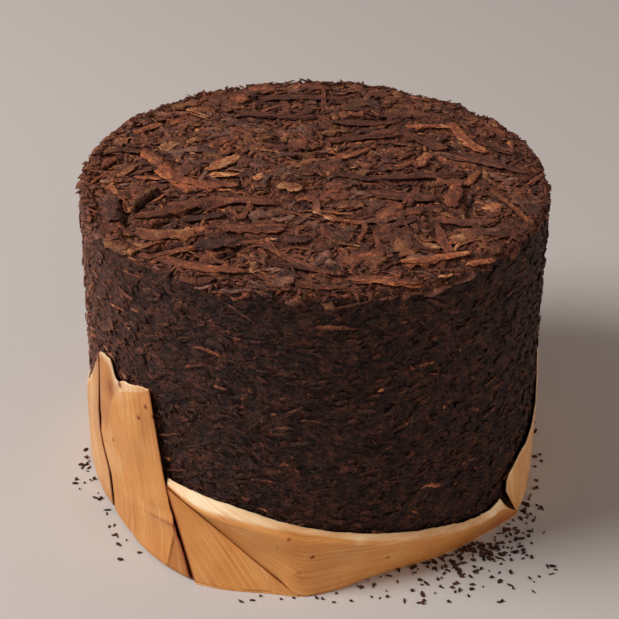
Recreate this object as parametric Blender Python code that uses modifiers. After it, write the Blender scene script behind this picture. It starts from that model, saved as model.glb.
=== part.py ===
"""A compressed pu erh tea column, 230 mm across and 158 mm high, standing in the
opened remains of its bamboo sheath wrapper. Metres, +Z up, the origin on the floor
under the middle of the drum, the front towards -Y."""

import math
import random

import bmesh
import bpy
from mathutils import Matrix, Vector, noise

# Driving dimensions of the pressed drum
TEA_RADIUS = 0.115
TEA_TOP = 0.158
TEA_BOTTOM = 0.0012  # it stands on the base sheet with a hair of air
TOP_EDGE_RADIUS = 0.0035
BOTTOM_EDGE_RADIUS = 0.013
TEA_SEGMENTS = 60
TOP_RINGS = (0.0, 0.018, 0.036, 0.054, 0.072, 0.090)  # radii of the rings of faces on the top
SIDE_ROWS = 9
BASE_RING = 0.05
ROUNDING_STEPS = 3
FLAT_SIDE_DEPTH = 0.0028  # the back right side was pressed a little flatter
FLAT_SIDE_AZIMUTH = 55.0
FLAT_SIDE_SPREAD = 28.0
NAVEL = Vector((0.004, 0.030))  # the dent left by the knot of the pressing cloth
NAVEL_SPREAD = 0.014
NAVEL_DEPTH = 0.0022
RELIEF_TOP = 0.0012
RELIEF_SIDE = 0.0005
TOP_BUMPS = 70  # to a metre
SIDE_BUMPS = 90
SIDE_BUMPS_UPWARD = 160

# Driving dimensions of the wrapper
SHEATH_THICKNESS = 0.0009
WALL_RADIUS = 0.1172  # outer face of the sheath where it hugs the drum
LIP_RADIUS = 0.1165  # free edge of the front band's lip, folded in to the drum
FLAP_RADIUS = 0.106  # how far the standing sheaths are tucked in under the drum
SEAM = 0.0006  # air between two sheaths that meet
FLAP_CORNER = 6  # the station of the front sheath where its folded flap ends in a corner

# Driving dimensions of the leaf pieces fused to the drum
LEAF_SEED = 11
LEAF_SUNK = 0.0018  # how deep a leaf's underside lies in the drum
TOP_LEAF_RINGS = ((0.010, 3), (0.032, 8), (0.055, 14), (0.077, 19), (0.097, 24))
TOP_LEAF_LENGTHS = (0.013, 0.029)
TOP_LEAF_WIDTHS = (0.0036, 0.0080)
TOP_LEAF_PROUD = (0.0007, 0.0018)
SIDE_LEAF_ROWS = (0.145, 0.131, 0.117, 0.103, 0.089, 0.075, 0.061, 0.051)
SIDE_LEAVES_PER_ROW = 13
SIDE_LEAF_LENGTHS = (0.009, 0.017)
SIDE_LEAF_WIDTHS = (0.0022, 0.0038)
SIDE_LEAF_PROUD = (0.0004, 0.0009)
LEAF_TIP = 0.32  # share of a leaf's width left at its ends
TOP_LEAF_STEPS = 3
SIDE_LEAF_STEPS = 2
# How unevenly the leaves lie, either way, in metres, degrees and shares of a leaf
TOP_LEAF_BEND = 0.22
TOP_LEAF_SHIFT = 0.006
TOP_LEAF_ROLL = 5.0
TOP_LEAF_PITCH = 2.0
TOP_LEAF_SPACING = 0.25
RING_TURN = 37.0  # each ring of leaves starts this much further round
RIM_RING = 0.09  # outside this radius the leaves lie along the rim
RIM_LEAF_TURN = 30.0
SIDE_LEAF_BEND = 0.12
SIDE_LEAF_SHIFT = 0.005
SIDE_LEAF_SLOPE = 28.0
SIDE_LEAF_SPACING = 0.3
# From and to which azimuth the wrapper reaches up to which height
WRAPPER_REACH = ((-205.0, -122.0, 0.100), (-18.0, 38.0, 0.080), (38.0, 155.0, 0.070))

# Linear colour and roughness
FINISHES = {
    "tea_column": ((0.087, 0.032, 0.020, 1.0), 0.75),
    "sheath_left": ((0.565, 0.254, 0.091, 1.0), 0.50),
    "sheath_front": ((0.479, 0.181, 0.048, 1.0), 0.50),
    "sheath_right": ((0.402, 0.171, 0.070, 1.0), 0.50),
    "sheath_back": ((0.479, 0.190, 0.060, 1.0), 0.50),
}


def clear_scene():
    for thing in list(bpy.data.objects):
        bpy.data.objects.remove(thing)


def finish_of(name):
    colour, roughness = FINISHES[name]
    made = bpy.data.materials.new(name)
    made.use_nodes = True
    shader = made.node_tree.nodes["Principled BSDF"]
    shader.inputs["Base Color"].default_value = colour
    shader.inputs["Roughness"].default_value = roughness
    shader.inputs["Metallic"].default_value = 0.0
    return made


def new_collection(name):
    made = bpy.data.collections.new(name)
    bpy.context.scene.collection.children.link(made)
    return made


def new_object(name, mesh, collection):
    thing = bpy.data.objects.new(name, mesh)
    collection.objects.link(thing)
    return thing


def mesh_from(bm, name):
    mesh = bpy.data.meshes.new(name)
    bm.to_mesh(mesh)
    bm.free()
    return mesh


def evaluated_mesh(thing):
    """The object's mesh with its modifiers applied."""
    bpy.context.view_layer.update()
    graph = bpy.context.evaluated_depsgraph_get()
    return bpy.data.meshes.new_from_object(thing.evaluated_get(graph))


def polar(azimuth, radius, height):
    """A point from its azimuth in degrees, -90 at the front, its radius and its height."""
    turn = math.radians(azimuth)
    return Vector((radius * math.cos(turn), radius * math.sin(turn), height))


# The pressed drum

def drum_profile():
    """Half outline of the drum, from the middle of the top down to the middle of the base."""
    points = [(ring, TEA_TOP) for ring in TOP_RINGS]
    for step in range(ROUNDING_STEPS + 1):
        turn = math.radians(90 - 90 * step / ROUNDING_STEPS)
        points.append((
            TEA_RADIUS - TOP_EDGE_RADIUS + TOP_EDGE_RADIUS * math.cos(turn),
            TEA_TOP - TOP_EDGE_RADIUS + TOP_EDGE_RADIUS * math.sin(turn),
        ))
    highest = TEA_TOP - TOP_EDGE_RADIUS
    lowest = TEA_BOTTOM + BOTTOM_EDGE_RADIUS
    for row in range(1, SIDE_ROWS):
        points.append((TEA_RADIUS, highest + (lowest - highest) * row / SIDE_ROWS))
    for step in range(ROUNDING_STEPS + 1):
        turn = math.radians(-90 * step / ROUNDING_STEPS)
        points.append((
            TEA_RADIUS - BOTTOM_EDGE_RADIUS + BOTTOM_EDGE_RADIUS * math.cos(turn),
            TEA_BOTTOM + BOTTOM_EDGE_RADIUS + BOTTOM_EDGE_RADIUS * math.sin(turn),
        ))
    points.append((BASE_RING, TEA_BOTTOM))
    points.append((0.0, TEA_BOTTOM))
    return points


def flat_side(azimuth):
    """How much shorter the drum's radius is at this azimuth."""
    away = (azimuth - FLAT_SIDE_AZIMUTH + 180.0) % 360.0 - 180.0
    return FLAT_SIDE_DEPTH * math.exp(-((away / FLAT_SIDE_SPREAD) ** 2))


def navel_dent(x, y):
    away = (Vector((x, y)) - NAVEL).length
    return NAVEL_DEPTH * math.exp(-((away / NAVEL_SPREAD) ** 2))


def pressed(point):
    """Moves a point of the true turned drum to where the pressed leaves really lie."""
    radius = math.hypot(point.x, point.y)
    azimuth = math.degrees(math.atan2(point.y, point.x))
    outward = Vector((point.x, point.y, 0.0)).normalized() if radius else Vector()
    reach = radius / TEA_RADIUS
    place = Vector((point.x * SIDE_BUMPS, point.y * SIDE_BUMPS, point.z * SIDE_BUMPS_UPWARD))
    side = RELIEF_SIDE * noise.noise(place)
    moved = point + outward * (side - flat_side(azimuth)) * reach
    if point.z > TEA_TOP - TOP_EDGE_RADIUS:
        bump = noise.noise(Vector((point.x * TOP_BUMPS, point.y * TOP_BUMPS, 3.0)))
        moved.z += RELIEF_TOP * bump - navel_dent(point.x, point.y)
    return moved


def make_drum_core(collection):
    bm = bmesh.new()
    points = [bm.verts.new((r, 0.0, z)) for r, z in drum_profile()]
    for first, second in zip(points, points[1:]):
        bm.edges.new((first, second))
    outline = new_object("drum_profile", mesh_from(bm, "drum_profile"), collection)
    screw = outline.modifiers.new("turn", "SCREW")
    screw.steps = screw.render_steps = TEA_SEGMENTS
    screw.use_merge_vertices = True
    screw.merge_threshold = 0.00001
    mesh = evaluated_mesh(outline)
    bpy.data.objects.remove(outline)
    for vertex in mesh.vertices:
        vertex.co = pressed(vertex.co)
    return new_object("tea_drum", mesh, collection)


def leaf_blank(length, width, thickness, bend, segments):
    """A closed strip of leaf along X, pointed at both ends and bent sideways in its plane."""
    bm = bmesh.new()
    bmesh.ops.create_grid(bm, x_segments=segments, y_segments=1, size=0.5)
    for vertex in bm.verts:
        along = 2 * vertex.co.x
        taper = LEAF_TIP + (1 - LEAF_TIP) * (1 - along * along) ** 0.5
        vertex.co.x *= length
        vertex.co.y = vertex.co.y * width * taper + bend * length * along * along
    made = bmesh.ops.extrude_face_region(bm, geom=bm.faces[:])
    raised = [part for part in made["geom"] if isinstance(part, bmesh.types.BMVert)]
    bmesh.ops.translate(bm, verts=raised, vec=(0.0, 0.0, thickness))
    bmesh.ops.recalc_face_normals(bm, faces=bm.faces[:])
    return bm


def place_leaf(name, bm, matrix, collection):
    bmesh.ops.transform(bm, matrix=matrix, verts=bm.verts[:])
    return new_object(name, mesh_from(bm, name), collection)


def turned(degrees, axis):
    return Matrix.Rotation(math.radians(degrees), 4, axis)


def scatter_top_leaves(collection, chance):
    """Flat leaves over the top face, ring by ring."""
    for ring, (radius, count) in enumerate(TOP_LEAF_RINGS):
        for index in range(count):
            along = index + chance.uniform(-TOP_LEAF_SPACING, TOP_LEAF_SPACING)
            azimuth = 360.0 * along / count + RING_TURN * ring
            reach = radius + chance.uniform(-TOP_LEAF_SHIFT, TOP_LEAF_SHIFT) - flat_side(azimuth)
            spot = polar(azimuth, reach, TEA_TOP - LEAF_SUNK)
            spot.z -= navel_dent(spot.x, spot.y)
            blank = leaf_blank(
                chance.uniform(*TOP_LEAF_LENGTHS),
                chance.uniform(*TOP_LEAF_WIDTHS),
                LEAF_SUNK + chance.uniform(*TOP_LEAF_PROUD),
                chance.uniform(-TOP_LEAF_BEND, TOP_LEAF_BEND),
                TOP_LEAF_STEPS,
            )
            turn = chance.uniform(0.0, 360.0)
            if radius > RIM_RING:
                turn = azimuth + 90.0 + chance.uniform(-RIM_LEAF_TURN, RIM_LEAF_TURN)
            roll = turned(chance.uniform(-TOP_LEAF_ROLL, TOP_LEAF_ROLL), "X")
            pitch = turned(chance.uniform(-TOP_LEAF_PITCH, TOP_LEAF_PITCH), "Y")
            matrix = Matrix.Translation(spot) @ turned(turn, "Z") @ roll @ pitch
            place_leaf(f"top_leaf_{ring}_{index}", blank, matrix, collection)


def behind_wrapper(azimuth, height):
    """Whether the wrapper lies over this place on the side."""
    for start, end, top in WRAPPER_REACH:
        if (azimuth - start) % 360.0 <= (end - start) and height < top:
            return True
    return False


def scatter_side_leaves(collection, chance):
    """Shreds round the side, nearly level, in rows that stop above the wrapper."""
    for row, middle in enumerate(SIDE_LEAF_ROWS):
        for index in range(SIDE_LEAVES_PER_ROW):
            along = index + 0.5 * (row % 2) + chance.uniform(-SIDE_LEAF_SPACING, SIDE_LEAF_SPACING)
            azimuth = 360.0 * along / SIDE_LEAVES_PER_ROW
            height = middle + chance.uniform(-SIDE_LEAF_SHIFT, SIDE_LEAF_SHIFT)
            blank = leaf_blank(
                chance.uniform(*SIDE_LEAF_LENGTHS),
                chance.uniform(*SIDE_LEAF_WIDTHS),
                LEAF_SUNK + chance.uniform(*SIDE_LEAF_PROUD),
                chance.uniform(-SIDE_LEAF_BEND, SIDE_LEAF_BEND),
                SIDE_LEAF_STEPS,
            )
            slope = turned(chance.uniform(-SIDE_LEAF_SLOPE, SIDE_LEAF_SLOPE), "Z")
            if behind_wrapper(azimuth, height):
                blank.free()
                continue
            spot = polar(azimuth, TEA_RADIUS - LEAF_SUNK - flat_side(azimuth), height)
            stand = turned(azimuth + 90.0, "Z") @ turned(90.0, "X")
            matrix = Matrix.Translation(spot) @ stand @ slope
            place_leaf(f"side_leaf_{row}_{index}", blank, matrix, collection)


def make_tea_column(collection):
    """The drum with its leaf pieces fused on, as one solid."""
    chance = random.Random(LEAF_SEED)
    leaves = new_collection("loose_leaves")
    core = make_drum_core(collection)
    scatter_top_leaves(leaves, chance)
    scatter_side_leaves(leaves, chance)
    fuse = core.modifiers.new("fuse_leaves", "BOOLEAN")
    fuse.operation = "UNION"
    fuse.operand_type = "COLLECTION"
    fuse.collection = leaves
    fuse.solver = "MANIFOLD"
    mesh = evaluated_mesh(core)
    for thing in [core, *leaves.objects]:
        bpy.data.objects.remove(thing)
    bpy.data.collections.remove(leaves)
    mesh.name = "tea_column"
    mesh.materials.clear()
    mesh.materials.append(finish_of("tea_column"))
    return new_object("tea_column", mesh, collection)


# The bamboo sheath wrapper

def between(first, second, share):
    return first + (second - first) * share


def make_sheath(name, rails, rows, collection):
    """A thin sheet of sheath over rails, lists of points that run along it, from its edge
    under the drum up to its free edge. rows says how many rows of faces join each pair."""
    stations = len(rails[0])
    lines = [rails[0]]
    for lower, upper, count in zip(rails, rails[1:], rows):
        for row in range(1, count + 1):
            share = row / count
            lines.append([between(a, b, share) for a, b in zip(lower, upper)])
    bm = bmesh.new()
    bmesh.ops.create_grid(bm, x_segments=stations - 1, y_segments=len(lines) - 1, size=0.5)
    for vertex in bm.verts:
        column = round((vertex.co.x + 0.5) * (stations - 1))
        line = round((vertex.co.y + 0.5) * (len(lines) - 1))
        vertex.co = lines[line][column]
    bmesh.ops.remove_doubles(bm, verts=bm.verts[:], dist=0.00002)
    bmesh.ops.dissolve_degenerate(bm, edges=bm.edges[:], dist=0.00002)
    bmesh.ops.triangulate(bm, faces=bm.faces[:])
    sheet = new_object(name, mesh_from(bm, name), collection)
    sheet.data.materials.append(finish_of(name))
    wall = sheet.modifiers.new("thickness", "SOLIDIFY")
    wall.thickness = SHEATH_THICKNESS
    wall.offset = -1.0
    wall.use_even_offset = True
    return sheet


def flap_edge(floor_points, radius=FLAP_RADIUS):
    """The tucked in edge on the floor, level with the floor points further out."""
    edge = []
    for point in floor_points:
        flat = Vector((point.x, point.y, 0.0))
        edge.append(flat.normalized() * radius)
    return edge


def make_left_sheath(collection):
    """The tall sheath at the left. Each station is its foot on the floor, then a knee, a
    waist and the torn top, by azimuth, radius and height."""
    stations = (
        ((-198.0, 0.1172), (-198.0, 0.1172, 0.0120), (-198.0, 0.1172, 0.0260), (-198.0, 0.0380)),
        ((-193.0, 0.1172), (-193.0, 0.1172, 0.0125), (-193.0, 0.1172, 0.0265), (-193.0, 0.0410)),
        ((-188.0, 0.1172), (-188.0, 0.1172, 0.0130), (-188.0, 0.1172, 0.0270), (-187.5, 0.0380)),
        ((-183.0, 0.1174), (-183.0, 0.1172, 0.0135), (-183.0, 0.1172, 0.0275), (-182.5, 0.0410)),
        ((-177.5, 0.1174), (-177.5, 0.1172, 0.0140), (-177.5, 0.1172, 0.0280), (-177.0, 0.0420)),
        ((-172.0, 0.1174), (-172.0, 0.1174, 0.0145), (-172.0, 0.1174, 0.0300), (-171.0, 0.0470)),
        ((-166.5, 0.1166), (-166.5, 0.1174, 0.0150), (-166.5, 0.1174, 0.0320), (-164.0, 0.0590)),
        ((-160.5, 0.1168), (-160.5, 0.1174, 0.0155), (-160.5, 0.1174, 0.0340), (-158.5, 0.0700)),
        ((-154.5, 0.1172), (-154.5, 0.1175, 0.0160), (-154.5, 0.1175, 0.0360), (-154.5, 0.0810)),
        ((-148.8, 0.1176), (-149.4, 0.1177, 0.0165), (-150.0, 0.1177, 0.0380), (-151.6, 0.0905)),
        ((-144.5, 0.1190), (-145.5, 0.1182, 0.0170), (-146.2, 0.1178, 0.0390), (-148.4, 0.0922)),
        ((-140.3, 0.1206), (-141.6, 0.1188, 0.0175), (-142.5, 0.1178, 0.0395), (-145.9, 0.0910)),
        ((-136.2, 0.1227), (-137.6, 0.1196, 0.0175), (-138.8, 0.1178, 0.0400), (-143.2, 0.0838)),
        ((-132.2, 0.1249), (-133.6, 0.1206, 0.0175), (-135.2, 0.1180, 0.0405), (-139.9, 0.0864)),
        ((-127.9, 0.1271), (-129.4, 0.1218, 0.0175), (-132.0, 0.1182, 0.0410), (-136.6, 0.0884)),
        ((-123.6, 0.1291), (-125.2, 0.1230, 0.0175), (-129.0, 0.1184, 0.0415), (-133.6, 0.0898)),
        ((-119.8, 0.1306), (-122.6, 0.1240, 0.0180), (-127.6, 0.1186, 0.0420), (-132.0, 0.0908)),
        ((-116.0, 0.1318), (-120.9, 0.1246, 0.0185), (-126.4, 0.1186, 0.0420), (-130.8, 0.0917)),
    )
    feet = [polar(azimuth, radius, 0.0) for (azimuth, radius), _, _, _ in stations]
    knee = [polar(*point) for _, point, _, _ in stations]
    waist = [polar(*point) for _, _, point, _ in stations]
    tops = [polar(azimuth, WALL_RADIUS, height) for _, _, _, (azimuth, height) in stations]
    rails = (flap_edge(feet), feet, knee, waist, tops)
    return make_sheath("sheath_left", rails, (1, 1, 1, 2), collection)


def make_front_sheath(collection):
    """The low front band with its shoulder folded in to the drum, and the base under the
    drum in the same piece. Each station is its foot, azimuth and radius, then the shoulder,
    azimuth, radius and height, and the lip, azimuth and height."""
    stations = (
        ((-115.3, 0.1313), (-125.4, 0.1180, 0.0412), (-125.5, 0.0436)),
        ((-111.6, 0.1306), (-120.6, 0.1204, 0.0384), (-121.0, 0.0428)),
        ((-107.9, 0.1298), (-115.6, 0.1224, 0.0364), (-116.2, 0.0422)),
        ((-104.2, 0.1286), (-110.4, 0.1232, 0.0356), (-111.4, 0.0412)),
        ((-100.4, 0.1275), (-104.8, 0.1234, 0.0346), (-106.0, 0.0396)),
        ((-96.3, 0.1274), (-98.6, 0.1234, 0.0330), (-99.4, 0.0364)),
        ((-92.2, 0.1279), (-92.4, 0.1233, 0.0310), (-92.6, 0.0334)),
        ((-85.7, 0.1243), (-85.9, 0.1228, 0.0288), (-85.7, 0.0306)),
        ((-81.4, 0.1208), (-82.0, 0.1224, 0.0268), (-81.4, 0.0287)),
        ((-77.1, 0.1174), (-78.2, 0.1220, 0.0248), (-77.0, 0.0270)),
        ((-72.3, 0.1154), (-73.4, 0.1216, 0.0230), (-72.6, 0.0253)),
        ((-67.6, 0.1146), (-68.6, 0.1212, 0.0212), (-68.2, 0.0238)),
        ((-62.2, 0.1150), (-63.0, 0.1208, 0.0189), (-62.4, 0.0216)),
        ((-56.8, 0.1155), (-57.4, 0.1203, 0.0160), (-56.4, 0.0190)),
        ((-51.4, 0.1160), (-51.8, 0.1199, 0.0136), (-51.0, 0.0166)),
        ((-45.6, 0.1166), (-46.2, 0.1195, 0.0113), (-45.6, 0.0143)),
        ((-40.3, 0.1178), (-41.0, 0.1192, 0.0095), (-40.8, 0.0130)),
        ((-36.6, 0.1190), (-37.6, 0.1188, 0.0084), (-37.6, 0.0132)),
        ((-33.6, 0.1203), (-35.4, 0.1194, 0.0075), (-35.8, 0.0136)),
        ((-31.0, 0.1212), (-31.9, 0.1208, 0.0032), (-33.6, 0.0052)),
    )
    feet = [polar(azimuth, radius, 0.0) for (azimuth, radius), _, _ in stations]
    shoulder = [polar(*point) for _, point, _ in stations]
    lip = [polar(azimuth, LIP_RADIUS, height) for _, _, (azimuth, height) in stations]
    pleat = [between(shoulder[0], feet[FLAP_CORNER], i / FLAP_CORNER) for i in range(FLAP_CORNER)]
    pleat += feet[FLAP_CORNER:]
    reach = FLAP_RADIUS - SEAM
    first = stations[0][0][0]
    last = stations[-1][0][0] - 360.0  # the base reaches round behind, clockwise from above
    count = len(stations) - 1
    turns = [first + (last - first) * index / count for index in range(count + 1)]
    behind = [polar(turn, reach, 0.0) for turn in turns]
    rails = (behind, flap_edge(feet, reach), feet, pleat, shoulder, lip)
    return make_sheath("sheath_front", rails, (3, 1, 2, 2, 1), collection)


def make_right_sheath(collection):
    """The sheath at the right, its torn edge rising towards the back."""
    stations = (
        (-30.4, 0.1210, -33.4, 0.0154),
        (-29.6, 0.1209, -33.2, 0.0225),
        (-28.6, 0.1206, -32.0, 0.0260),
        (-26.4, 0.1202, -28.4, 0.0292),
        (-22.8, 0.1194, -23.6, 0.0308),
        (-18.5, 0.1182, -19.2, 0.0328),
        (-13.0, 0.1174, -13.6, 0.0360),
        (-7.5, 0.1172, -7.6, 0.0420),
        (-2.0, 0.1172, -2.0, 0.0520),
        (4.0, 0.1172, 4.0, 0.0670),
        (10.0, 0.1172, 10.0, 0.0720),
        (16.0, 0.1172, 16.0, 0.0690),
        (22.0, 0.1172, 22.0, 0.0620),
        (28.0, 0.1172, 28.0, 0.0570),
        (34.0, 0.1172, 34.0, 0.0530),
    )
    feet = [polar(azimuth, radius, 0.0) for azimuth, radius, _, _ in stations]
    tops = [polar(azimuth, WALL_RADIUS, height) for _, _, azimuth, height in stations]
    rails = (flap_edge(feet), feet, tops)
    return make_sheath("sheath_right", rails, (1, 3), collection)


def make_back_sheath(collection):
    """The sheath at the back, torn off unevenly like the others."""
    tops = (0.0480, 0.0500, 0.0540, 0.0600, 0.0620, 0.0580, 0.0540, 0.0550, 0.0520, 0.0460,
            0.0440, 0.0470, 0.0490, 0.0460, 0.0420, 0.0400, 0.0430, 0.0460, 0.0430, 0.0400, 0.0380)
    count = len(tops) - 1
    turns = [35.0 + 126.0 * index / count for index in range(count + 1)]
    feet = [polar(turn, WALL_RADIUS, 0.0) for turn in turns]
    edge = [polar(turn, WALL_RADIUS, height) for turn, height in zip(turns, tops)]
    return make_sheath("sheath_back", (flap_edge(feet), feet, edge), (1, 3), collection)


def main():
    clear_scene()
    parts = new_collection("pu_erh_tea_column")
    make_tea_column(parts)
    make_left_sheath(parts)
    make_front_sheath(parts)
    make_right_sheath(parts)
    make_back_sheath(parts)


main()
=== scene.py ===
import math
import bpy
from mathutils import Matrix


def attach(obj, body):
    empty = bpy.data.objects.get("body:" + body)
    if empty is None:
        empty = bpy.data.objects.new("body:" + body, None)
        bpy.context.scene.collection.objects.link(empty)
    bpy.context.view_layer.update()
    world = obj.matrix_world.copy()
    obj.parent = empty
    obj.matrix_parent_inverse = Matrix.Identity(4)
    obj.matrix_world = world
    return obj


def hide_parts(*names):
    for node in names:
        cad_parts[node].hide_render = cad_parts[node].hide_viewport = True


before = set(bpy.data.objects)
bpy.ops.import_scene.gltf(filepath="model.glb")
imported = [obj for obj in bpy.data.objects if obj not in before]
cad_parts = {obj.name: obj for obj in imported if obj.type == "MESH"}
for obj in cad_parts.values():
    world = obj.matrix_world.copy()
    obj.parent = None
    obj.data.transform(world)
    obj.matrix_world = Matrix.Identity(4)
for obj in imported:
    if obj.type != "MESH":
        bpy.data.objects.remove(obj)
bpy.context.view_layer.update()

from types import SimpleNamespace

import bmesh
import bpy
import numpy as np
from mathutils import Matrix, Vector, noise

mm = 0.001
tiny = 1e-6  # metres: keeps a length that is divided by above nought

drum = {
    "radius": 115 * mm,
    "top": 158 * mm,
    "bottom": 1.2 * mm,
    "topRounding": 3.5 * mm,
    "bottomRounding": 13 * mm,
    "flatSideDepth": 2.8 * mm,  # the back right side was pressed flatter
    "flatSideAzimuth": 55,
    "flatSideSpread": 28,
    "navel": (4 * mm, 30 * mm),  # dent of the cloth's knot
    "navelSpread": 14 * mm,
    "navelDepth": 2.2 * mm,
    "waves": 0.5 * mm,  # slow rise and fall of the pressed top
    "swell": (93, 81),  # radians to a metre of the waves across and along it
    "ripple": (150, 127),  # and of the finer ones between them
    "rimShare": 0.07,  # how far in the rim's bumps reach, as a share of the radius
    "rimBumps": (  # azimuth, spread in degrees, height in millimetres
        (146, 4, 2.4), (136, 3, 1.0), (124, 4, 0.9), (93, 3.5, 2.3), (80, 4, 1.6), (70, 3, 0.8),
        (46, 3, 1.3), (34, 3.5, 2.2), (22, 3, 1.2), (-165, 5, 0.8), (-100, 6, 0.5), (-60, 4, 0.6),
    ),
    "hollows": (  # gaps between the big leaves: both ends, width and depth in millimetres
        (-89, -30, -88, -50, 1.5, 3.0), (-85, -36, -73.5, -15, 2.0, 3.7), (-75, -53, -65, -44, 1.5, 3.0),
        (-64, -39, -41, -28, 1.7, 3.4), (-51, 75.5, -34, 62, 1.4, 2.5), (-34, 62, -12, 55.5, 1.8, 3.2),
        (-24, 38.5, -6, 36.5, 1.8, 3.7), (-13.5, 29.5, 4, 36.5, 1.7, 3.4), (-9.5, 21.5, 6, 27.5, 2.0, 3.7),
        (12.5, 30, 35, 35, 1.8, 3.4), (61, -50.8, 83, -49.5, 1.7, 3.7), (-46, -61.5, -17, -62, 1.4, 2.5),
        (64, -1, 74.5, 3.5, 1.8, 3.0), (8, 48.5, 26, 49, 1.7, 3.2), (38, 69, 64.5, 68, 1.8, 2.8),
        (93, 49.5, 103, 43.5, 1.8, 3.0), (23, -10.5, 61, -6.7, 1.5, 2.8), (-6, -26, 17, -23.5, 1.5, 2.5),
        (43, -89.5, 66, -85.5, 1.8, 3.9), (-74, -78, -56.5, -67.5, 2.2, 4.1), (-104.5, 8, -94, 17, 1.7, 2.8),
        (-70.5, -16.8, -40, -18.3, 1.3, 2.5), (-41.5, -80, -34.5, -72, 2.2, 3.4),
        (74.3, -24, 72.7, -38.5, 1.4, 2.8),
    ),
    "hollowPaintedShade": 0.22,  # painted shade: how much darker the leaf down in them is
    "paintedLightSide": -176,  # painted light: the side facing this way, towards the key light, is painted paler
    "paintedLightPatches": ((0.18, 60), (0.32, 29)),  # how much paler it is painted, over how many degrees to each side
    "paintedSheenGrey": 1.3,  # how much greyer that leaf is painted, as painted sheen at the grazing edge
    "paintedLightTop": 0.065,  # painted light: how much paler the left of the top is, towards the key light
}


def polar(azimuth, radius, height):
    turn = math.radians(azimuth)
    return Vector((radius * math.cos(turn), radius * math.sin(turn), height))


def between(first, second, share):
    return first + (second - first) * share


def addPiece(name, mesh, *finishes):
    piece = bpy.data.objects.new(name, mesh)
    bpy.context.scene.collection.objects.link(piece)
    mesh.materials.clear()
    for finish in finishes:
        mesh.materials.append(finish)
    return piece


def takePlace(piece, node):
    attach(piece, "root")
    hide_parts(node)
    print(piece.name, "stands for", node)


def hill(away, spread):
    # 1 in the middle, falling off on both sides
    return np.exp(-((away / spread) ** 2))


def turnedFrom(azimuth, middle):
    return (azimuth - middle + 180) % 360 - 180


def flatSide(azimuth):
    return drum["flatSideDepth"] * hill(turnedFrom(azimuth, drum["flatSideAzimuth"]), drum["flatSideSpread"])


def fromLine(x, y, line):
    # offset of a place from the nearest point of a hollow's or a leaf's line
    x0, y0, x1, y1 = (value * mm for value in line[:4])
    runX, runY = x1 - x0, y1 - y0
    share = np.clip(((x - x0) * runX + (y - y0) * runY) / (runX ** 2 + runY ** 2), 0, 1)
    return x - x0 - share * runX, y - y0 - share * runY


def insideHollow(x, y, hollow):
    # 1 on the hollow's line, falling off beside it
    return hill(np.hypot(*fromLine(x, y, hollow)), hollow[4] * mm)


def topHeight(x, y):
    away = np.hypot(x - drum["navel"][0], y - drum["navel"][1])
    height = drum["top"] - drum["navelDepth"] * hill(away, drum["navelSpread"])
    swell = np.sin(x * drum["swell"][0] + 1.3) * np.cos(y * drum["swell"][1] - 0.4)
    height += drum["waves"] * (swell + 0.6 * np.sin(x * drum["ripple"][0] - y * drum["ripple"][1] + 2.1))
    nearRim = hill(np.hypot(x, y) / drum["radius"] - 1, drum["rimShare"])
    azimuth = np.degrees(np.arctan2(y, x))
    for middle, spread, rise in drum["rimBumps"]:
        height += nearRim * rise * mm * hill(turnedFrom(azimuth, middle), spread)
    for hollow in drum["hollows"]:
        height -= hollow[5] * mm * insideHollow(x, y, hollow)
    return height


def paintedHollowShade(x, y):
    # painted shade: how much darker the leaf is here, down in a hollow
    return drum["hollowPaintedShade"] * np.max([insideHollow(x, y, hollow) for hollow in drum["hollows"]], axis=0)


def sideTone(azimuth):
    # painted light: how much paler the drum's side is here, on the side facing the key light
    turned = turnedFrom(azimuth, drum["paintedLightSide"])
    return sum(paler * hill(turned, spread) for paler, spread in drum["paintedLightPatches"])


class Wire:
    # a shader value that takes part in plain expressions
    def __init__(self, finish, socket):
        self.finish = finish
        self.socket = socket

    def maths(self, operation, first, second):
        return self.finish.wire("ShaderNodeMath", 0, {"operation": operation}, {0: first, 1: second})

    def __add__(self, other):
        return self.maths("ADD", self, other)

    def __radd__(self, other):
        return self.maths("ADD", other, self)

    def __sub__(self, other):
        return self.maths("SUBTRACT", self, other)

    def __rsub__(self, other):
        return self.maths("SUBTRACT", other, self)

    def __mul__(self, other):
        return self.maths("MULTIPLY", self, other)

    def __rmul__(self, other):
        return self.maths("MULTIPLY", other, self)


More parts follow.
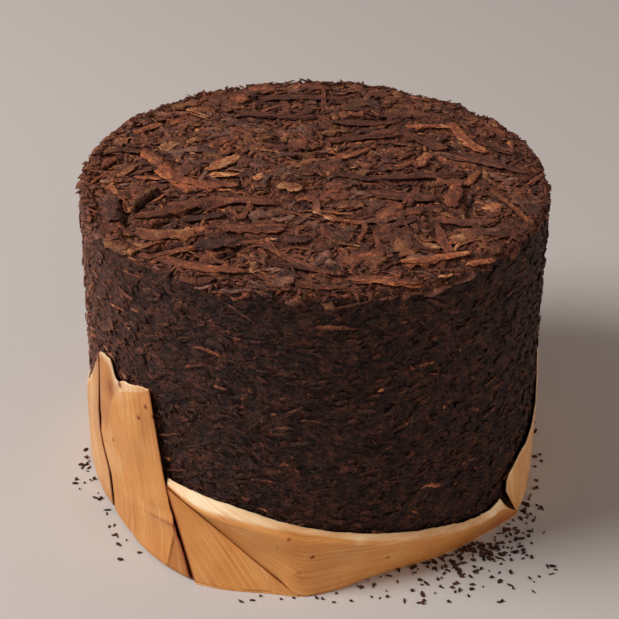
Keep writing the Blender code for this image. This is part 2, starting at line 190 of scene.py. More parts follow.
class Finish:
    # a material under construction
    def __init__(self, name):
        self.material = bpy.data.materials.new(name)
        self.material.use_nodes = True
        self.tree = self.material.node_tree
        self.shader = self.tree.nodes["Principled BSDF"]

    def feed(self, socket, value):
        if isinstance(value, Wire):
            self.tree.links.new(value.socket, socket)
        else:
            socket.default_value = value

    def node(self, kind, settings, sockets):
        made = self.tree.nodes.new(kind)
        for key, value in settings.items():
            if key == "stops":
                ramp = made.color_ramp
                while len(ramp.elements) < len(value):
                    ramp.elements.new(0.5)
                for stop, (place, colour) in zip(ramp.elements, value):
                    stop.position = place
                    stop.color = (*colour, 1)
            else:
                setattr(made, key, value)
        for key, value in sockets.items():
            self.feed(made.inputs[key], value)
        return made

    def wire(self, kind, output, settings, sockets):
        return Wire(self, self.node(kind, settings, sockets).outputs[output])

    def attribute(self, name):
        return self.wire("ShaderNodeAttribute", "Fac", {"attribute_name": name}, {})

    def uvMap(self, name, scale):
        own = self.wire("ShaderNodeUVMap", 0, {"uv_map": name}, {})
        return self.wire("ShaderNodeMapping", 0, {}, {"Vector": own, "Scale": scale})

    def objectSpace(self):
        return self.wire("ShaderNodeTexCoord", "Object", {}, {})

    def noise(self, vector, scale, detail=3, roughness=0.5):
        return self.wire("ShaderNodeTexNoise", "Fac", {}, {
            "Vector": vector, "Scale": scale, "Detail": detail, "Roughness": roughness})

    def specks(self, vector, scale, size):
        # one inside a scattered round speck, nought outside
        away = self.wire("ShaderNodeTexVoronoi", "Distance", {}, {"Vector": vector, "Scale": scale})
        return self.remap(away, size, size * 0.6)

    def ramp(self, value, stops):
        return self.wire("ShaderNodeValToRGB", "Color", {"stops": stops}, {"Fac": value})

    def remap(self, value, low, high, toLow=0.0, toHigh=1.0):
        return self.wire("ShaderNodeMapRange", 0, {}, {
            "Value": value, "From Min": low, "From Max": high, "To Min": toLow, "To Max": toHigh})

    def mix(self, factor, first, second, blend="MIX"):
        # sockets 6, 7 and 2 are the ones of its colour form
        return self.wire("ShaderNodeMix", 2, {"data_type": "RGBA", "blend_type": blend}, {
            0: factor, 6: first, 7: second})

    def bump(self, height, strength, distance):
        return self.wire("ShaderNodeBump", 0, {}, {
            "Height": height, "Strength": strength, "Distance": distance})

    def set(self, **sockets):
        for key, value in sockets.items():
            self.feed(self.shader.inputs[key.replace("_", " ")], value)
        return self.material


leafLooks = {
    "red": (
        (0.00, (0.006, 0.0028, 0.0024)),
        (0.25, (0.034, 0.0100, 0.0064)),
        (0.50, (0.113, 0.0340, 0.0195)),
        (0.70, (0.255, 0.0745, 0.0370)),
        (0.86, (0.520, 0.1500, 0.0500)),
        (1.00, (0.780, 0.3800, 0.1650)),
    ),
    "golden": (
        (0.00, (0.008, 0.0045, 0.0030)),
        (0.50, (0.112, 0.0420, 0.0190)),
        (0.75, (0.300, 0.1220, 0.0480)),
        (1.00, (0.750, 0.3900, 0.2000)),
    ),
    "grey": (
        (0.00, (0.008, 0.0046, 0.0042)),
        (0.50, (0.084, 0.0330, 0.0240)),
        (0.75, (0.240, 0.1060, 0.0720)),
        (1.00, (0.420, 0.2100, 0.1450)),
    ),
    "sheen": 0.24,
    "relief": 1.3 * mm,
    "roughness": (0.42, 0.68),
    "veins": (0.26, 1.1, 1),  # to a millimetre, along and across the leaf
    "creases": 380,  # to a metre
    "patches": 170,
    # fine mottling to a metre, and how far each of the patterns shifts the tone
    "topGrain": {"fine": 900, "veined": 0.20, "mottled": 0.36, "creased": 0.50, "patchy": 0.52},
    "sideGrain": {"fine": 1150, "veined": 0.20, "mottled": 1.20, "creased": 0.80, "patchy": 0.70},
}


def leafFinish(name, grain):
    # dry leaf: its own tone and hue, veins along it, mottling, creases and patches
    finish = Finish(name)
    tone = finish.attribute("tone")
    hue = finish.attribute("hue")
    veins = finish.noise(finish.uvMap("leaf", leafLooks["veins"]), 1.0, 3, 0.6)
    mottle = finish.noise(finish.objectSpace(), grain["fine"], 2, 0.65)
    creases = finish.noise(finish.objectSpace(), leafLooks["creases"], 4, 0.65)
    patches = finish.noise(finish.objectSpace(), leafLooks["patches"], 3, 0.6)
    shade = tone + (veins - 0.5) * grain["veined"] + (mottle - 0.5) * grain["mottled"]
    shade = shade + (creases - 0.5) * grain["creased"] + (patches - 0.5) * grain["patchy"]
    golden = finish.remap(hue + (patches - 0.5) * 3.0, 0.15, 1.0)
    grey = finish.remap(hue + (creases - 0.5) * 1.2, -0.1, -0.8)
    colour = finish.mix(golden, finish.ramp(shade, leafLooks["red"]), finish.ramp(shade, leafLooks["golden"]))
    colour = finish.mix(grey, colour, finish.ramp(shade, leafLooks["grey"]))
    relief = finish.bump(veins * 0.3 + mottle * 0.6 + creases * 2.0, 1.0, leafLooks["relief"])
    rough = finish.remap(mottle, 0.3, 0.7, *leafLooks["roughness"])
    return finish.set(
        Base_Color=colour, Roughness=rough, Normal=relief, Specular_IOR_Level=leafLooks["sheen"])


core = {
    "seed": 2,
    "segments": 380,
    "sideRows": 150,
    "topRings": 72,
    "edgeRows": 5,  # round the edge of the top
    "footRows": 8,  # round the foot
    "baseRings": (0.7, 0.4, 0.0),  # shares of the radius
    "sunk": 0.6 * mm,  # how far the mass stays below the drum's outline
    "plates": (230, 230, 390),  # plates of pressed leaf to a metre, along each axis
    "topPlates": (190, 150, 0),
    "plateHeight": 0.55 * mm,
    "gapDepth": 0.9 * mm,
    "gapWidth": 0.16,
    "grain": 0.25 * mm,
    "grains": (700, 700, 1400),  # to a metre, along each axis
    "sideTone": (0.208, 0.12),  # tone of the side, and how far its plates shift it
    "topTone": (0.50, 0.10),
    "paintedLightShare": 0.75,  # how much of the side's painted light the mass takes
    "flatAbove": 153.2 * mm,  # the leaf pattern lies flat above this, and runs round the side below it
}


def coreProfile():
    # half outline of the drum, from the middle of the top down to the middle of the base
    radius = drum["radius"] - core["sunk"]
    top = drum["top"] - core["sunk"]
    rounding = drum["topRounding"]
    inner = radius - rounding
    points = [(inner * i / core["topRings"], top) for i in range(core["topRings"] + 1)]
    for i in range(1, core["edgeRows"] + 1):
        turn = math.radians(90 - 90 / core["edgeRows"] * i)
        points.append((inner + rounding * math.cos(turn), top - rounding + rounding * math.sin(turn)))
    rounding = drum["bottomRounding"]
    high = top - drum["topRounding"]
    low = drum["bottom"] + rounding
    for i in range(1, core["sideRows"]):
        points.append((radius, between(high, low, i / core["sideRows"])))
    for i in range(core["footRows"] + 1):
        turn = math.radians(-90 / core["footRows"] * i)
        points.append((radius - rounding + rounding * math.cos(turn), low + rounding * math.sin(turn)))
    return points + [(radius * share, drum["bottom"]) for share in core["baseRings"]]


def plateAt(point, plates):
    # height and tone of the mass here: leaf plates of uneven height with gaps between them
    at = point * Vector(plates)
    at += 0.45 * noise.noise_vector(at * 0.9) + 0.2 * noise.noise_vector(at * 2.7)
    distances, centres = noise.voronoi(at)
    own = noise.noise(centres[0] * 5.3)
    gap = max(0.0, 1 - (distances[1] - distances[0]) / core["gapWidth"])
    grain = noise.noise(point * Vector(core["grains"]))
    height = core["plateHeight"] * (1.4 * own + 0.5 * noise.noise(at * 1.6)) - core["gapDepth"] * gap ** 1.5
    # the tone is darker in the gaps between the plates: painted shade
    return height + core["grain"] * grain, own + 0.3 * grain - 0.9 * gap


def pressCore(vertex, tone, hue):
    # the unevenness of the pressed mass and of the drum, with the tone and hue of each place
    point = vertex.co.copy()
    radius = math.hypot(point.x, point.y)
    azimuth = math.degrees(math.atan2(point.y, point.x))
    outward = Vector((point.x, point.y, 0)).normalized() if radius else Vector()
    reach = radius / drum["radius"]
    # painted light and sheen: the side facing the key light is painted paler and greyer
    paler = sideTone(azimuth)
    over = min(1, max(0, (point.z - drum["top"] + core["sunk"] + drum["topRounding"]) / drum["topRounding"]))
    wallRelief, wallTone = plateAt(point, core["plates"]) if over < 1 else (0, 0)
    topRelief, topTone = plateAt(point, core["topPlates"]) if over > 0 else (0, 0)
    vertex.co += outward * (wallRelief * (1 - over) - flatSide(azimuth)) * reach
    side = core["sideTone"][0] + core["paintedLightShare"] * paler + core["sideTone"][1] * wallTone
    top = core["topTone"][0] + core["topTone"][1] * topTone
    if over > 0:
        vertex.co.z += over * (topRelief + topHeight(point.x, point.y) - drum["top"])
        # painted shade: the top of the mass is darker down in the hollows
        top -= paintedHollowShade(point.x, point.y)
    vertex[tone] = between(side, top, over)
    vertex[hue] = 0.6 * noise.noise(point * 140) - drum["paintedSheenGrey"] * paler * (1 - over)


def makeCore(finish):
    noise.seed_set(core["seed"])  # the plates are bent by a random vector noise
    bm = bmesh.new()
    line = [bm.verts.new((r, 0, z)) for r, z in coreProfile()]
    edges = [bm.edges.new(pair) for pair in zip(line, line[1:])]
    bmesh.ops.spin(bm, geom=line + edges, cent=(0, 0, 0), axis=(0, 0, 1),
                   angle=math.tau, steps=core["segments"], use_merge=True)
    bmesh.ops.remove_doubles(bm, verts=bm.verts[:], dist=0.02 * mm)
    tone, hue = bm.verts.layers.float.new("tone"), bm.verts.layers.float.new("hue")
    own = bm.loops.layers.uv.new("leaf")
    for vertex in bm.verts:
        pressCore(vertex, tone, hue)
    bmesh.ops.recalc_face_normals(bm, faces=bm.faces[:])
    for face in bm.faces:
        flat = face.calc_center_median().z > core["flatAbove"]
        for loop in face.loops:
            x, y, z = loop.vert.co / mm
            loop[own].uv = (x, y) if flat else (math.atan2(y, x) * drum["radius"] / mm, z)
    mesh = bpy.data.meshes.new("tea_core")
    bm.to_mesh(mesh)
    bm.free()
    mesh.shade_smooth()
    takePlace(addPiece("tea_core", mesh, finish), "tea_column")


# Leaves. Lengths, widths, thicknesses and heights over the drum are in millimetres, tilt and
# slope in degrees. A kind's bow, curl, sway and ess are how far a leaf's middle, edges, ends and
# halves are bent, and its blanks are how many different leaves it is made from.
broadLeaves = {
    "name": "top_leaves_broad", "seed": 3, "count": 760, "steps": (9, 5), "blanks": 30,
    "follows": True, "shaded": True,
    "length": (8, 23), "width": (5.0, 13.0), "thick": (0.4, 0.9), "lift": (-0.8, 0.6), "tilt": 6,
    "blunt": (2.0, 6.0), "tip": (0.15, 0.6), "ragged": 0.5, "folds": (0.3, 1.2), "foldHeight": 0.9,
    "bow": 0.6, "curl": 0.8, "sway": 1.8, "ess": 0.8, "twist": 0.12, "crumple": 0.25,
    "tone": (0.565, 0.08), "hue": (-0.10, 0.65), "bright": 0.03,
}
stripLeaves = {
    "name": "top_leaves_strips", "seed": 4, "count": 800, "steps": (10, 2), "blanks": 24,
    "follows": True, "shaded": True,
    "length": (6, 20), "width": (1.4, 4.4), "thick": (0.3, 0.8), "lift": (-1.2, 0.5), "tilt": 7,
    "blunt": (2.0, 6.0), "tip": (0.1, 0.6), "ragged": 0.4, "folds": (0.3, 0.8), "foldHeight": 0.3,
    "bow": 0.6, "curl": 0.25, "sway": 1.9, "ess": 1.0, "twist": 0.16, "crumple": 0.20,
    "tone": (0.57, 0.085), "hue": (0.0, 0.6), "bright": 0.05,
}
leafBits = {
    "name": "top_leaf_bits", "seed": 5, "count": 3000, "steps": (3, 2), "blanks": 24,
    "follows": True, "shaded": True,
    "length": (2.0, 8), "width": (1.2, 4.4), "thick": (0.4, 0.8), "lift": (-1.1, 0.3), "tilt": 14,
    "blunt": (2.5, 8.0), "tip": (0.3, 0.8), "ragged": 0.4, "folds": (0.3, 0.8), "foldHeight": 0.2,
    "bow": 0.25, "curl": 0.2, "sway": 0.4, "ess": 0.2, "twist": 0.2, "crumple": 0.12,
    "tone": (0.55, 0.08), "hue": (0.0, 0.55), "bright": 0.02,
}
rimBits = {
    "name": "top_rim_bits", "seed": 13, "count": 560, "steps": (3, 2), "blanks": 24, "follows": True,
    "innermost": 109.5, "give": 3.2,
    "length": (2.0, 8), "width": (0.9, 3.4), "thick": (0.4, 0.9), "lift": (-0.6, 1.9), "tilt": 34,
    "blunt": (2.5, 8.0), "tip": (0.3, 0.8), "ragged": 0.4, "folds": (0.3, 0.8), "foldHeight": 0.2,
    "bow": 0.25, "curl": 0.2, "sway": 0.4, "ess": 0.2, "twist": 0.2, "crumple": 0.12,
    "tone": (0.50, 0.09), "hue": (0.0, 0.35), "bright": 0.02,
}
markedLeaves = {
    "name": "top_leaves_marked", "seed": 11, "steps": (14, 5), "blanks": 12, "follows": True,
    "layers": 2, "shaken": 0.7, "narrowed": (0.65, 1.0),  # each is a few torn layers, not quite in line
    "length": (10, 20), "width": (3, 6), "thick": (0.4, 0.8), "lift": (0.7, 1.3), "tilt": 4,
    "blunt": (1.8, 5.0), "tip": (0.15, 0.6), "ragged": 0.55, "folds": (0.3, 1.2), "foldHeight": 0.7,
    "bow": 0.2, "curl": 0.4, "sway": 0.2, "ess": 0.7, "twist": 0.08, "crumple": 0.3,
    "tone": (0.5, 0.025), "hue": (0.0, 0.2), "bright": 0.0,
    # the leaves that stand out: both ends, width, sideways bend, tone and hue
    "leaves": (
        (-86, 26, -62, -17, 12.0, 1.0, 0.76, 0.05), (-72, -9, -38, -12.5, 9.5, 1.4, 0.70, 0.0),
        (-52, -1.5, -37, 0.5, 5.4, 0.2, 0.93, 0.30), (-51, 4, -39, 21, 10.0, 0.5, 0.77, 0.6),
        (-46, 13, -39, 20, 4.5, 0.2, 0.86, 0.5), (-92, 45, -80, 57, 6.0, 0.3, 0.72, 0.1),
        (-68, 73.5, -56, 67, 2.0, 0.2, 0.84, 0.5), (-66, 70, -56, 64.5, 1.8, 0.0, 0.80, 0.5),
        (-105, 10, -100, 19, 4.6, 0.2, 0.66, 0.1), (-98, -15, -91, -28, 4.5, 0.4, 0.70, 0.3),
        (-91, -28, -86.5, -37, 3.0, 0.0, 0.82, 0.5), (-98, -24, -96, -48, 13.0, 0.5, 0.47, -0.5),
        (-17.5, -12, -6, -14, 15.0, 0.2, 0.73, 0.8), (47, 58, 72, 57.5, 4.2, -0.8, 0.82, 0.2),
        (68, 60, 85.5, 28, 9.0, 2.4, 0.73, 0.1), (6, 35.5, 16, 19.5, 4.5, -0.5, 0.78, 0.1),
        (14, 21, 31, 32, 4.2, 1.5, 0.76, 0.15), (39, 9, 51, 16.5, 5.5, 0.4, 0.65, 0.0),
        (52.5, 9, 56, 25, 8.0, 0.2, 0.69, 0.2), (61, 19.5, 71, 7, 4.5, 0.4, 0.65, 0.0),
        (60, -2.5, 73, -10, 10.0, 0.3, 0.65, 0.1), (74, -10, 80.5, 4.5, 6.5, 0.2, 0.68, 0.15),
        (67.5, -11, 66.5, -31, 12.5, 0.5, 0.65, 0.0), (86, -13, 101, -47, 3.6, 0.8, 0.62, 0.3),
        (44, -32, 52, -6, 5.5, 0.8, 0.58, -0.1), (-8, -37.5, 18, -39, 2.6, -0.6, 0.72, 0.45),
        (4, -41.5, 23, -50, 4.0, 0.9, 0.67, 0.2), (23, -49, 21.5, -67, 4.6, -1.0, 0.67, 0.1),
        (0.5, -37.5, 10, -46.5, 2.0, 0.3, 0.90, 0.5), (55, -46.5, 86, -45, 7.0, 1.0, 0.61, -0.3),
        (56, -47, 61.5, -78, 7.5, 0.8, 0.62, -0.1), (104, -7, 112, 4, 5.0, 0.0, 0.65, 0.1),
        (-82, -59, -55, -64, 14.5, 1.2, 0.70, 0.45), (-64, -61.5, -56, -57, 6.0, 0.2, 0.95, 0.30),
        (-74, -86, -54, -73.5, 5.0, -1.0, 0.67, 0.3), (-78, -82, -32, -97, 7.0, 3.2, 0.67, -0.05),
        (-53, -73, -34, -66, 13.0, 0.8, 0.47, -0.6), (-44, -54, -13, -55, 11.0, 0.8, 0.58, -0.1),
        (-35, -69, -22, -66, 3.2, 0.4, 0.62, 0.0), (-24, -65, -15.5, -81, 4.2, 1.0, 0.66, -0.1),
        (-22.5, -66, -16.5, -64.5, 3.0, 0.0, 0.95, 0.5), (-16, -77.5, 5.5, -100, 6.0, 1.8, 0.63, -0.2),
        (-14, -66.5, -3, -65.5, 10.0, 0.4, 0.46, -0.5), (39.5, -85.5, 70.5, -77.5, 9.0, 1.2, 0.76, 0.05),
        (60, -66, 65, -69, 3.5, 0.0, 0.88, 0.15), (69, -87, 82.5, -83, 5.0, 0.3, 0.78, 0.1),
        (55.5, -99, 61, -96, 2.6, 0.0, 0.90, 0.4), (15.5, -101, 46.5, -103.5, 9.5, 1.4, 0.71, -0.1),
        (17.5, -103.5, 25.5, -102, 4.0, 0.0, 0.70, 0.1), (-8, -107, 14, -108, 4.5, 0.0, 0.60, 0.1),
        (-40, 72, 0, 67, 11.0, 1.0, 0.51, -0.1), (-30, 90, 16, 93, 10.0, 0.8, 0.51, -0.2),
        (28, -17, 58, -24, 13.0, 0.8, 0.51, -0.2), (8, 41.5, 44, 48, 10.0, 1.6, 0.55, -0.1),
        (8, 61, 44, 62, 10.0, 1.0, 0.53, -0.2), (68, 22, 105, 8, 10.5, -1.2, 0.53, -0.3),
        (30, -3, 74, 5, 8.0, 1.6, 0.54, -0.2), (52, 44, 66, 30, 8.0, 0.6, 0.54, -0.1),
        (-66, -30, -18, -27, 11.0, -2.4, 0.60, 0.1), (-84, -45, -60, -35, 8.0, 1.0, 0.54, 0.0),
        (-61, -47, -42, -41, 7.0, 0.5, 0.44, -0.5), (-41, -36, -34, -47, 3.6, 0.5, 0.60, 0.0),
        (-30, -31, -33, -46, 3.6, -0.5, 0.62, 0.1), (4, 104, 5, 74, 3.5, 0.4, 0.52, -0.2),
        (-20, -88, 14, -96, 4.6, 1.2, 0.50, -0.2), (10, 2, 30, -4, 7.0, -1.2, 0.48, -0.2),
        (-90, -2, -74, 10, 6.0, 0.6, 0.50, -0.2), (84, 40, 100, 26, 6.0, 0.6, 0.50, -0.3),
    ),
}
sideFlakes = {
    "name": "side_flakes", "seed": 6, "count": 2100, "steps": (4, 2), "blanks": 24,
    "length": (3, 11), "width": (1.8, 4.6), "thick": (0.5, 1.0), "lift": (-1.7, -0.6), "tilt": 9, "slope": 16,
    "blunt": (2.5, 8.0), "tip": (0.3, 0.8), "ragged": 0.5, "folds": (0.3, 0.8), "foldHeight": 0.25,
    "bow": 0.12, "curl": 0.1, "sway": 0.6, "ess": 0.3, "twist": 0.10, "crumple": 0.15,
    "tone": (0.220, 0.062), "hue": (-0.2, 0.3), "bright": 0.004,
}
sideShreds = {
    "name": "side_shreds", "seed": 7, "count": 4200, "steps": (3, 1), "blanks": 20,
    "length": (1.0, 4.8), "width": (0.7, 2.2), "thick": (0.4, 0.9), "lift": (-1.4, -0.3),
    "tilt": 20, "slope": 30,
    "blunt": (2.5, 8.0), "tip": (0.3, 0.9), "ragged": 0.5, "folds": (0.3, 0.8), "foldHeight": 0.12,
    "bow": 0.1, "curl": 0.05, "sway": 0.35, "ess": 0.15, "twist": 0.15, "crumple": 0.12,
    "tone": (0.230, 0.107), "hue": (-0.15, 0.35), "bright": 0.010,
}
sideStreaks = {
    "name": "side_streaks", "seed": 8, "count": 230, "steps": (10, 1), "blanks": 16,
    "length": (4, 17), "width": (0.9, 2.4), "thick": (0.4, 0.8), "lift": (-0.9, -0.1), "tilt": 8, "slope": 14,
    "blunt": (2.5, 8.0), "tip": (0.2, 0.6), "ragged": 0.4, "folds": (0.5, 1.0), "foldHeight": 0.15,
    "bow": 0.15, "curl": 0.05, "sway": 0.5, "ess": 0.3, "twist": 0.1, "crumple": 0.2,
    "tone": (0.44, 0.09), "hue": (-0.1, 0.3), "bright": 0.03,
}
crumbs = {
    "name": "crumbs", "seed": 9, "count": 330, "steps": (3, 2), "blanks": 24, "loose": True,
    "length": (0.5, 3.3), "width": (0.6, 2.7), "thick": (0.4, 1.1), "lift": (0.0, 0.15), "tilt": 7,
    "blunt": (2.0, 3.5), "tip": (0.2, 0.5), "ragged": 0.35, "folds": (0.5, 1.0), "foldHeight": 0.1,
    "bow": 0.1, "curl": 0.0, "sway": 0.12, "ess": 0.0, "twist": 0.1, "crumple": 0.1,
    "tone": (0.36, 0.08), "hue": (0.0, 0.3), "bright": 0.02, "farthest": (122, 132),
    # where they fell: middle and spread in millimetres, share of the crumbs
    "drifts": (
        (84, -91, 10, 4, 0.20), (66, -104, 10, 4, 0.14), (99, -78, 5, 4, 0.09), (110, -60, 5, 8, 0.08),
        (119, -30, 3, 14, 0.04), (121, 8, 1.5, 16, 0.03), (92, -102, 20, 10, 0.14), (55, -119, 24, 6, 0.12),
        (-119, -22, 3, 5, 0.04), (-118, -37, 4, 4, 0.03), (-108, -58, 5, 7, 0.02), (-93, -86, 8, 8, 0.02),
        (20, -131, 40, 1.5, 0.03),
    ),
}
pressing = {
    "give": 1.0,  # millimetres: how softly the press flattened what stands proud
    "smallBias": 1.3,  # above 1, more leaves are small than large
    "brightTone": (0.70, 0.88),
    "fade": 0.08,  # how much a leaf's tone changes along it
    "foldWearAndPaintedLight": 0.07,  # how much paler its folds' ridges are and darker their valleys: partly wear, partly painted highlight and shade
    "veinShift": 7.31,  # millimetres, so that no two leaves have the same veins
}


def leafBlank(chance, kind):
    # a closed leaf, one long, one wide and one thick, with the height of its folds beside it
    lengthSteps, widthSteps = kind["steps"]
    bm = bmesh.new()
    bmesh.ops.create_grid(bm, x_segments=lengthSteps, y_segments=widthSteps, size=0.5)
    made = bmesh.ops.extrude_face_region(bm, geom=bm.faces[:])
    raised = [item for item in made["geom"] if isinstance(item, bmesh.types.BMVert)]
    bmesh.ops.translate(bm, verts=raised, vec=(0, 0, 1))
    bmesh.ops.recalc_face_normals(bm, faces=bm.faces[:])
    bm.verts.index_update()
    points = np.array([vertex.co[:] for vertex in bm.verts])
    faces = np.array([[vertex.index for vertex in face.verts] for face in bm.faces])
    bm.free()
    along, across = 2 * points[:, 0], 2 * points[:, 1]
    blunt, tip = chance.uniform(*kind["blunt"]), chance.uniform(*kind["tip"])
    full = tip + (1 - tip) * np.sqrt(1 - np.abs(along) ** blunt)
    full *= 1 + chance.uniform(-0.3, 0.3) * along
    step = np.round((points[:, 0] + 0.5) * lengthSteps).astype(int)
    torn = chance.uniform(1 - kind["ragged"], 1, (2, lengthSteps + 1))
    points[:, 1] *= full * torn[(across > 0).astype(int), step]
    endShift = chance.uniform(-0.5, 0.5, widthSteps + 1) / lengthSteps
    row = np.round((across / 2 + 0.5) * widthSteps).astype(int)
    points[:, 0] += endShift[row] * (np.abs(along) > 0.99)
    points[:, 0] += chance.uniform(-0.1, 0.1, lengthSteps + 1)[step] / lengthSteps
    folds, phase = chance.uniform(*kind["folds"]), chance.uniform(0, math.tau)
    heights = np.cos(math.pi * folds * across + phase + 0.8 * np.sin(2.2 * along + phase))
    heights += 0.5 * np.sin(5 * along + phase * 3) * np.cos(2 * across + phase)
    return points, faces, heights * 0.7


def bendLeaves(blank, heights, leaves, mine):
    # size: length, width and thickness. bend: bow, curl, sway, ess, twist, crumple, fold height
    points = blank[None] * leaves["size"][mine][:, None, :]
    along, across = 2 * blank[None, :, 0], 2 * blank[None, :, 1]
    bow, curl, sway, ess, twist, crumple, fold = leaves["bend"][mine].T[:, :, None]
    phase = leaves["phase"][mine][:, None]
    x, y, z = points[..., 0], points[..., 1], points[..., 2]
    z = z + fold * heights[None] + bow * (1 - along ** 2) + curl * (across ** 2 - 0.3)
    z = z + crumple * np.sin(x * 1100 + phase) * np.cos(y * 1300 + 1.7 * phase)
    y = y + sway * (along ** 2 - 0.35) + ess * np.sin(along * 2.6)
    cosine, sine = np.cos(twist * along), np.sin(twist * along)
    return np.stack([x, y * cosine - z * sine, y * sine + z * cosine], axis=-1)


def flatten(points, give):
    # leaves that stand proud of the drum are pressed back towards its outline
    x, y, z = points.T
    radius = np.maximum(np.hypot(x, y), tiny)
    side = drum["radius"] - flatSide(np.degrees(np.arctan2(y, x)))
    rounding = drum["topRounding"]
    outward = np.maximum(radius - side + rounding, 0)
    upward = np.maximum(z - topHeight(x, y) + rounding, 0)
    reach = np.maximum(np.hypot(outward, upward), tiny)
    proud = np.maximum(reach - rounding, 0)
    back = (give * np.log1p(proud / give) - proud) / reach
    inward = 1 + back * outward / radius
    return np.stack([x * inward, y * inward, z + back * upward], axis=1)


def joinLeaves(kind, leaves, blanks):
    # all copies of the blanks as one mesh, with each leaf's tone, hue and own UV in millimetres
    gathered = {"points": [], "faces": [], "tone": [], "hue": [], "own": []}
    start = 0
    for index, (blank, faces, heights) in enumerate(blanks):
        mine = np.nonzero(leaves["which"] == index)[0]
        bent = bendLeaves(blank, heights, leaves, mine)
        spots = leaves["spots"][mine][:, None, :]
        placed = np.einsum("nij,nmj->nmi", leaves["axes"][mine], bent) + spots
        if kind.get("follows"):  # the leaf lies along the rise and fall of the top
            placed[..., 2] += topHeight(placed[..., 0], placed[..., 1])
            placed[..., 2] -= topHeight(spots[..., 0], spots[..., 1])
        own = blank[None, :, :2] * leaves["size"][mine][:, None, :2] / mm
        own = own + (mine * pressing["veinShift"])[:, None, None]
        tone = leaves["tone"][mine][:, None] + leaves["fade"][mine][:, None] * blank[None, :, 0]
        # fold ridges paler and valleys darker: partly wear, partly painted highlight and shade
        tone = tone + pressing["foldWearAndPaintedLight"] * heights[None]
        if kind.get("shaded"):  # painted shade: darker down in the hollows
            tone = tone - paintedHollowShade(placed[..., 0], placed[..., 1])
        shift = start + np.arange(len(mine))[:, None, None] * len(blank)
        gathered["points"].append(placed.reshape(-1, 3))
        gathered["faces"].append((faces[None] + shift).reshape(-1, 4))
        gathered["tone"].append(tone.ravel())
        gathered["hue"].append(np.repeat(leaves["hue"][mine], len(blank)))
        gathered["own"].append(own.reshape(-1, 2))
        start += len(mine) * len(blank)
    joined = {key: np.concatenate(parts) for key, parts in gathered.items()}
    mesh = bpy.data.meshes.new(kind["name"])
    points = joined["points"]
    if not kind.get("loose"):
        points = flatten(points, kind.get("give", pressing["give"]) * mm)
    points[:, 2] = np.maximum(points[:, 2], 0.02 * mm)  # clear of the floor
    mesh.from_pydata(points, [], joined["faces"])
    for key in ("tone", "hue"):
        mesh.attributes.new(key, "FLOAT", "POINT").data.foreach_set("value", joined[key].astype(np.float32))
    corners = joined["own"][joined["faces"].ravel()].astype(np.float32)
    mesh.uv_layers.new(name="leaf").data.foreach_set("uv", corners.ravel())
    mesh.shade_smooth()
    print(kind["name"], len(leaves["spots"]), "leaves,", 2 * len(joined["faces"]), "triangles")
    return mesh


def leafAxes(direction, normal):
    # columns: along the leaf, across it, out of it
    normal = normal / np.linalg.norm(normal, axis=1, keepdims=True)
    along = direction - normal * np.sum(direction * normal, axis=1, keepdims=True)
    along /= np.linalg.norm(along, axis=1, keepdims=True)
    return np.stack([along, np.cross(normal, along), normal], axis=-1)


def drawn(chance, span, count, power=1.0):
    low, high = span
    return low + (high - low) * chance.random(count) ** power


def drawLeaves(chance, kind):
    # everything about the leaves of a kind except where they lie
    count = kind["count"]
    size = [drawn(chance, kind[key], count, pressing["smallBias"]) for key in ("length", "width", "thick")]
    bend = [chance.normal(0, kind[key] * mm, count) for key in ("bow", "curl", "sway", "ess")]
    bend.append(chance.normal(0, kind["twist"], count))
    bend.append(np.full(count, kind["crumple"] * mm))
    bend.append(drawn(chance, (0.3, 1.0), count) * kind["foldHeight"] * mm)
    tone = chance.normal(*kind["tone"], count)
    bright = chance.random(count) < kind["bright"]
    tone = np.where(bright, chance.uniform(*pressing["brightTone"], count), tone)
    return {
        "size": np.stack(size, axis=1) * mm,
        "bend": np.stack(bend, axis=1),
        "phase": chance.uniform(0, math.tau, count),
        "tone": np.clip(tone, 0.08, 0.95),
        "fade": chance.normal(0, pressing["fade"], count),
        "hue": np.clip(chance.normal(*kind["hue"], count), -1, 1),
        "which": chance.integers(0, kind["blanks"], count),
    }


topLay = {
    "margin": 1.5 * mm,  # between the outermost spots and the drum's radius
    "edge": 1.2 * mm,  # and between every spot and the drum's real edge
    "shake": 0.35,  # how far the spots leave their spiral
    "nearHollow": 2 * mm,  # leaves this near a hollow lie along it
    "aimed": 0.4,  # share of the leaves round the navel that point at it
    "navelRing": 20,  # millimetres: how far from the navel those are
    "alongRim": 0.5,  # share of the leaves at the rim that lie along it
    "steep": (0.12, 2.6),  # share of the leaves that lie steeper, and how much steeper
    "rimRolled": 7 * mm,  # from here to the rim the leaves lean outwards
    "rimDrop": 2.0 * mm,
    "under": 2.2 * mm,  # how far the others pass under the leaves that stand out
    "palest": 0.64,  # at the rim
    "darkest": 0.44,
}


def spiralSpots(chance, count, inner, outer):
    # an even spiral, shaken a little
    order = np.arange(count) + 0.5
    radius = np.sqrt(between(inner ** 2, outer ** 2, order / count))
    turn = order * math.pi * (3 - math.sqrt(5))
    shake = topLay["shake"] * (outer - inner) / math.sqrt(count)
    x = radius * np.cos(turn) + chance.normal(0, shake, count)
    y = radius * np.sin(turn) + chance.normal(0, shake, count)
    edge = drum["radius"] - flatSide(np.degrees(np.arctan2(y, x))) - topLay["edge"]
    inside = np.minimum(1, edge / np.maximum(np.hypot(x, y), tiny))
    return x * inside, y * inside


def clearHollows(chance, x, y, wide, heading):
    # the leaves keep out of the gaps and lie along them
    for hollow in drum["hollows"]:
        awayX, awayY = fromLine(x, y, hollow)
        away = np.maximum(np.hypot(awayX, awayY), 0.1 * mm)
        reach = hollow[4] * mm + 0.4 * wide
        push = np.maximum(reach - away, 0) * 0.9 / away
        x, y = x + awayX * push, y + awayY * push
        along = math.atan2(hollow[3] - hollow[1], hollow[2] - hollow[0])
        turned = along + chance.normal(0, 0.2, len(x))
        heading = np.where(away < reach + topLay["nearHollow"], turned, heading)
    return x, y, heading


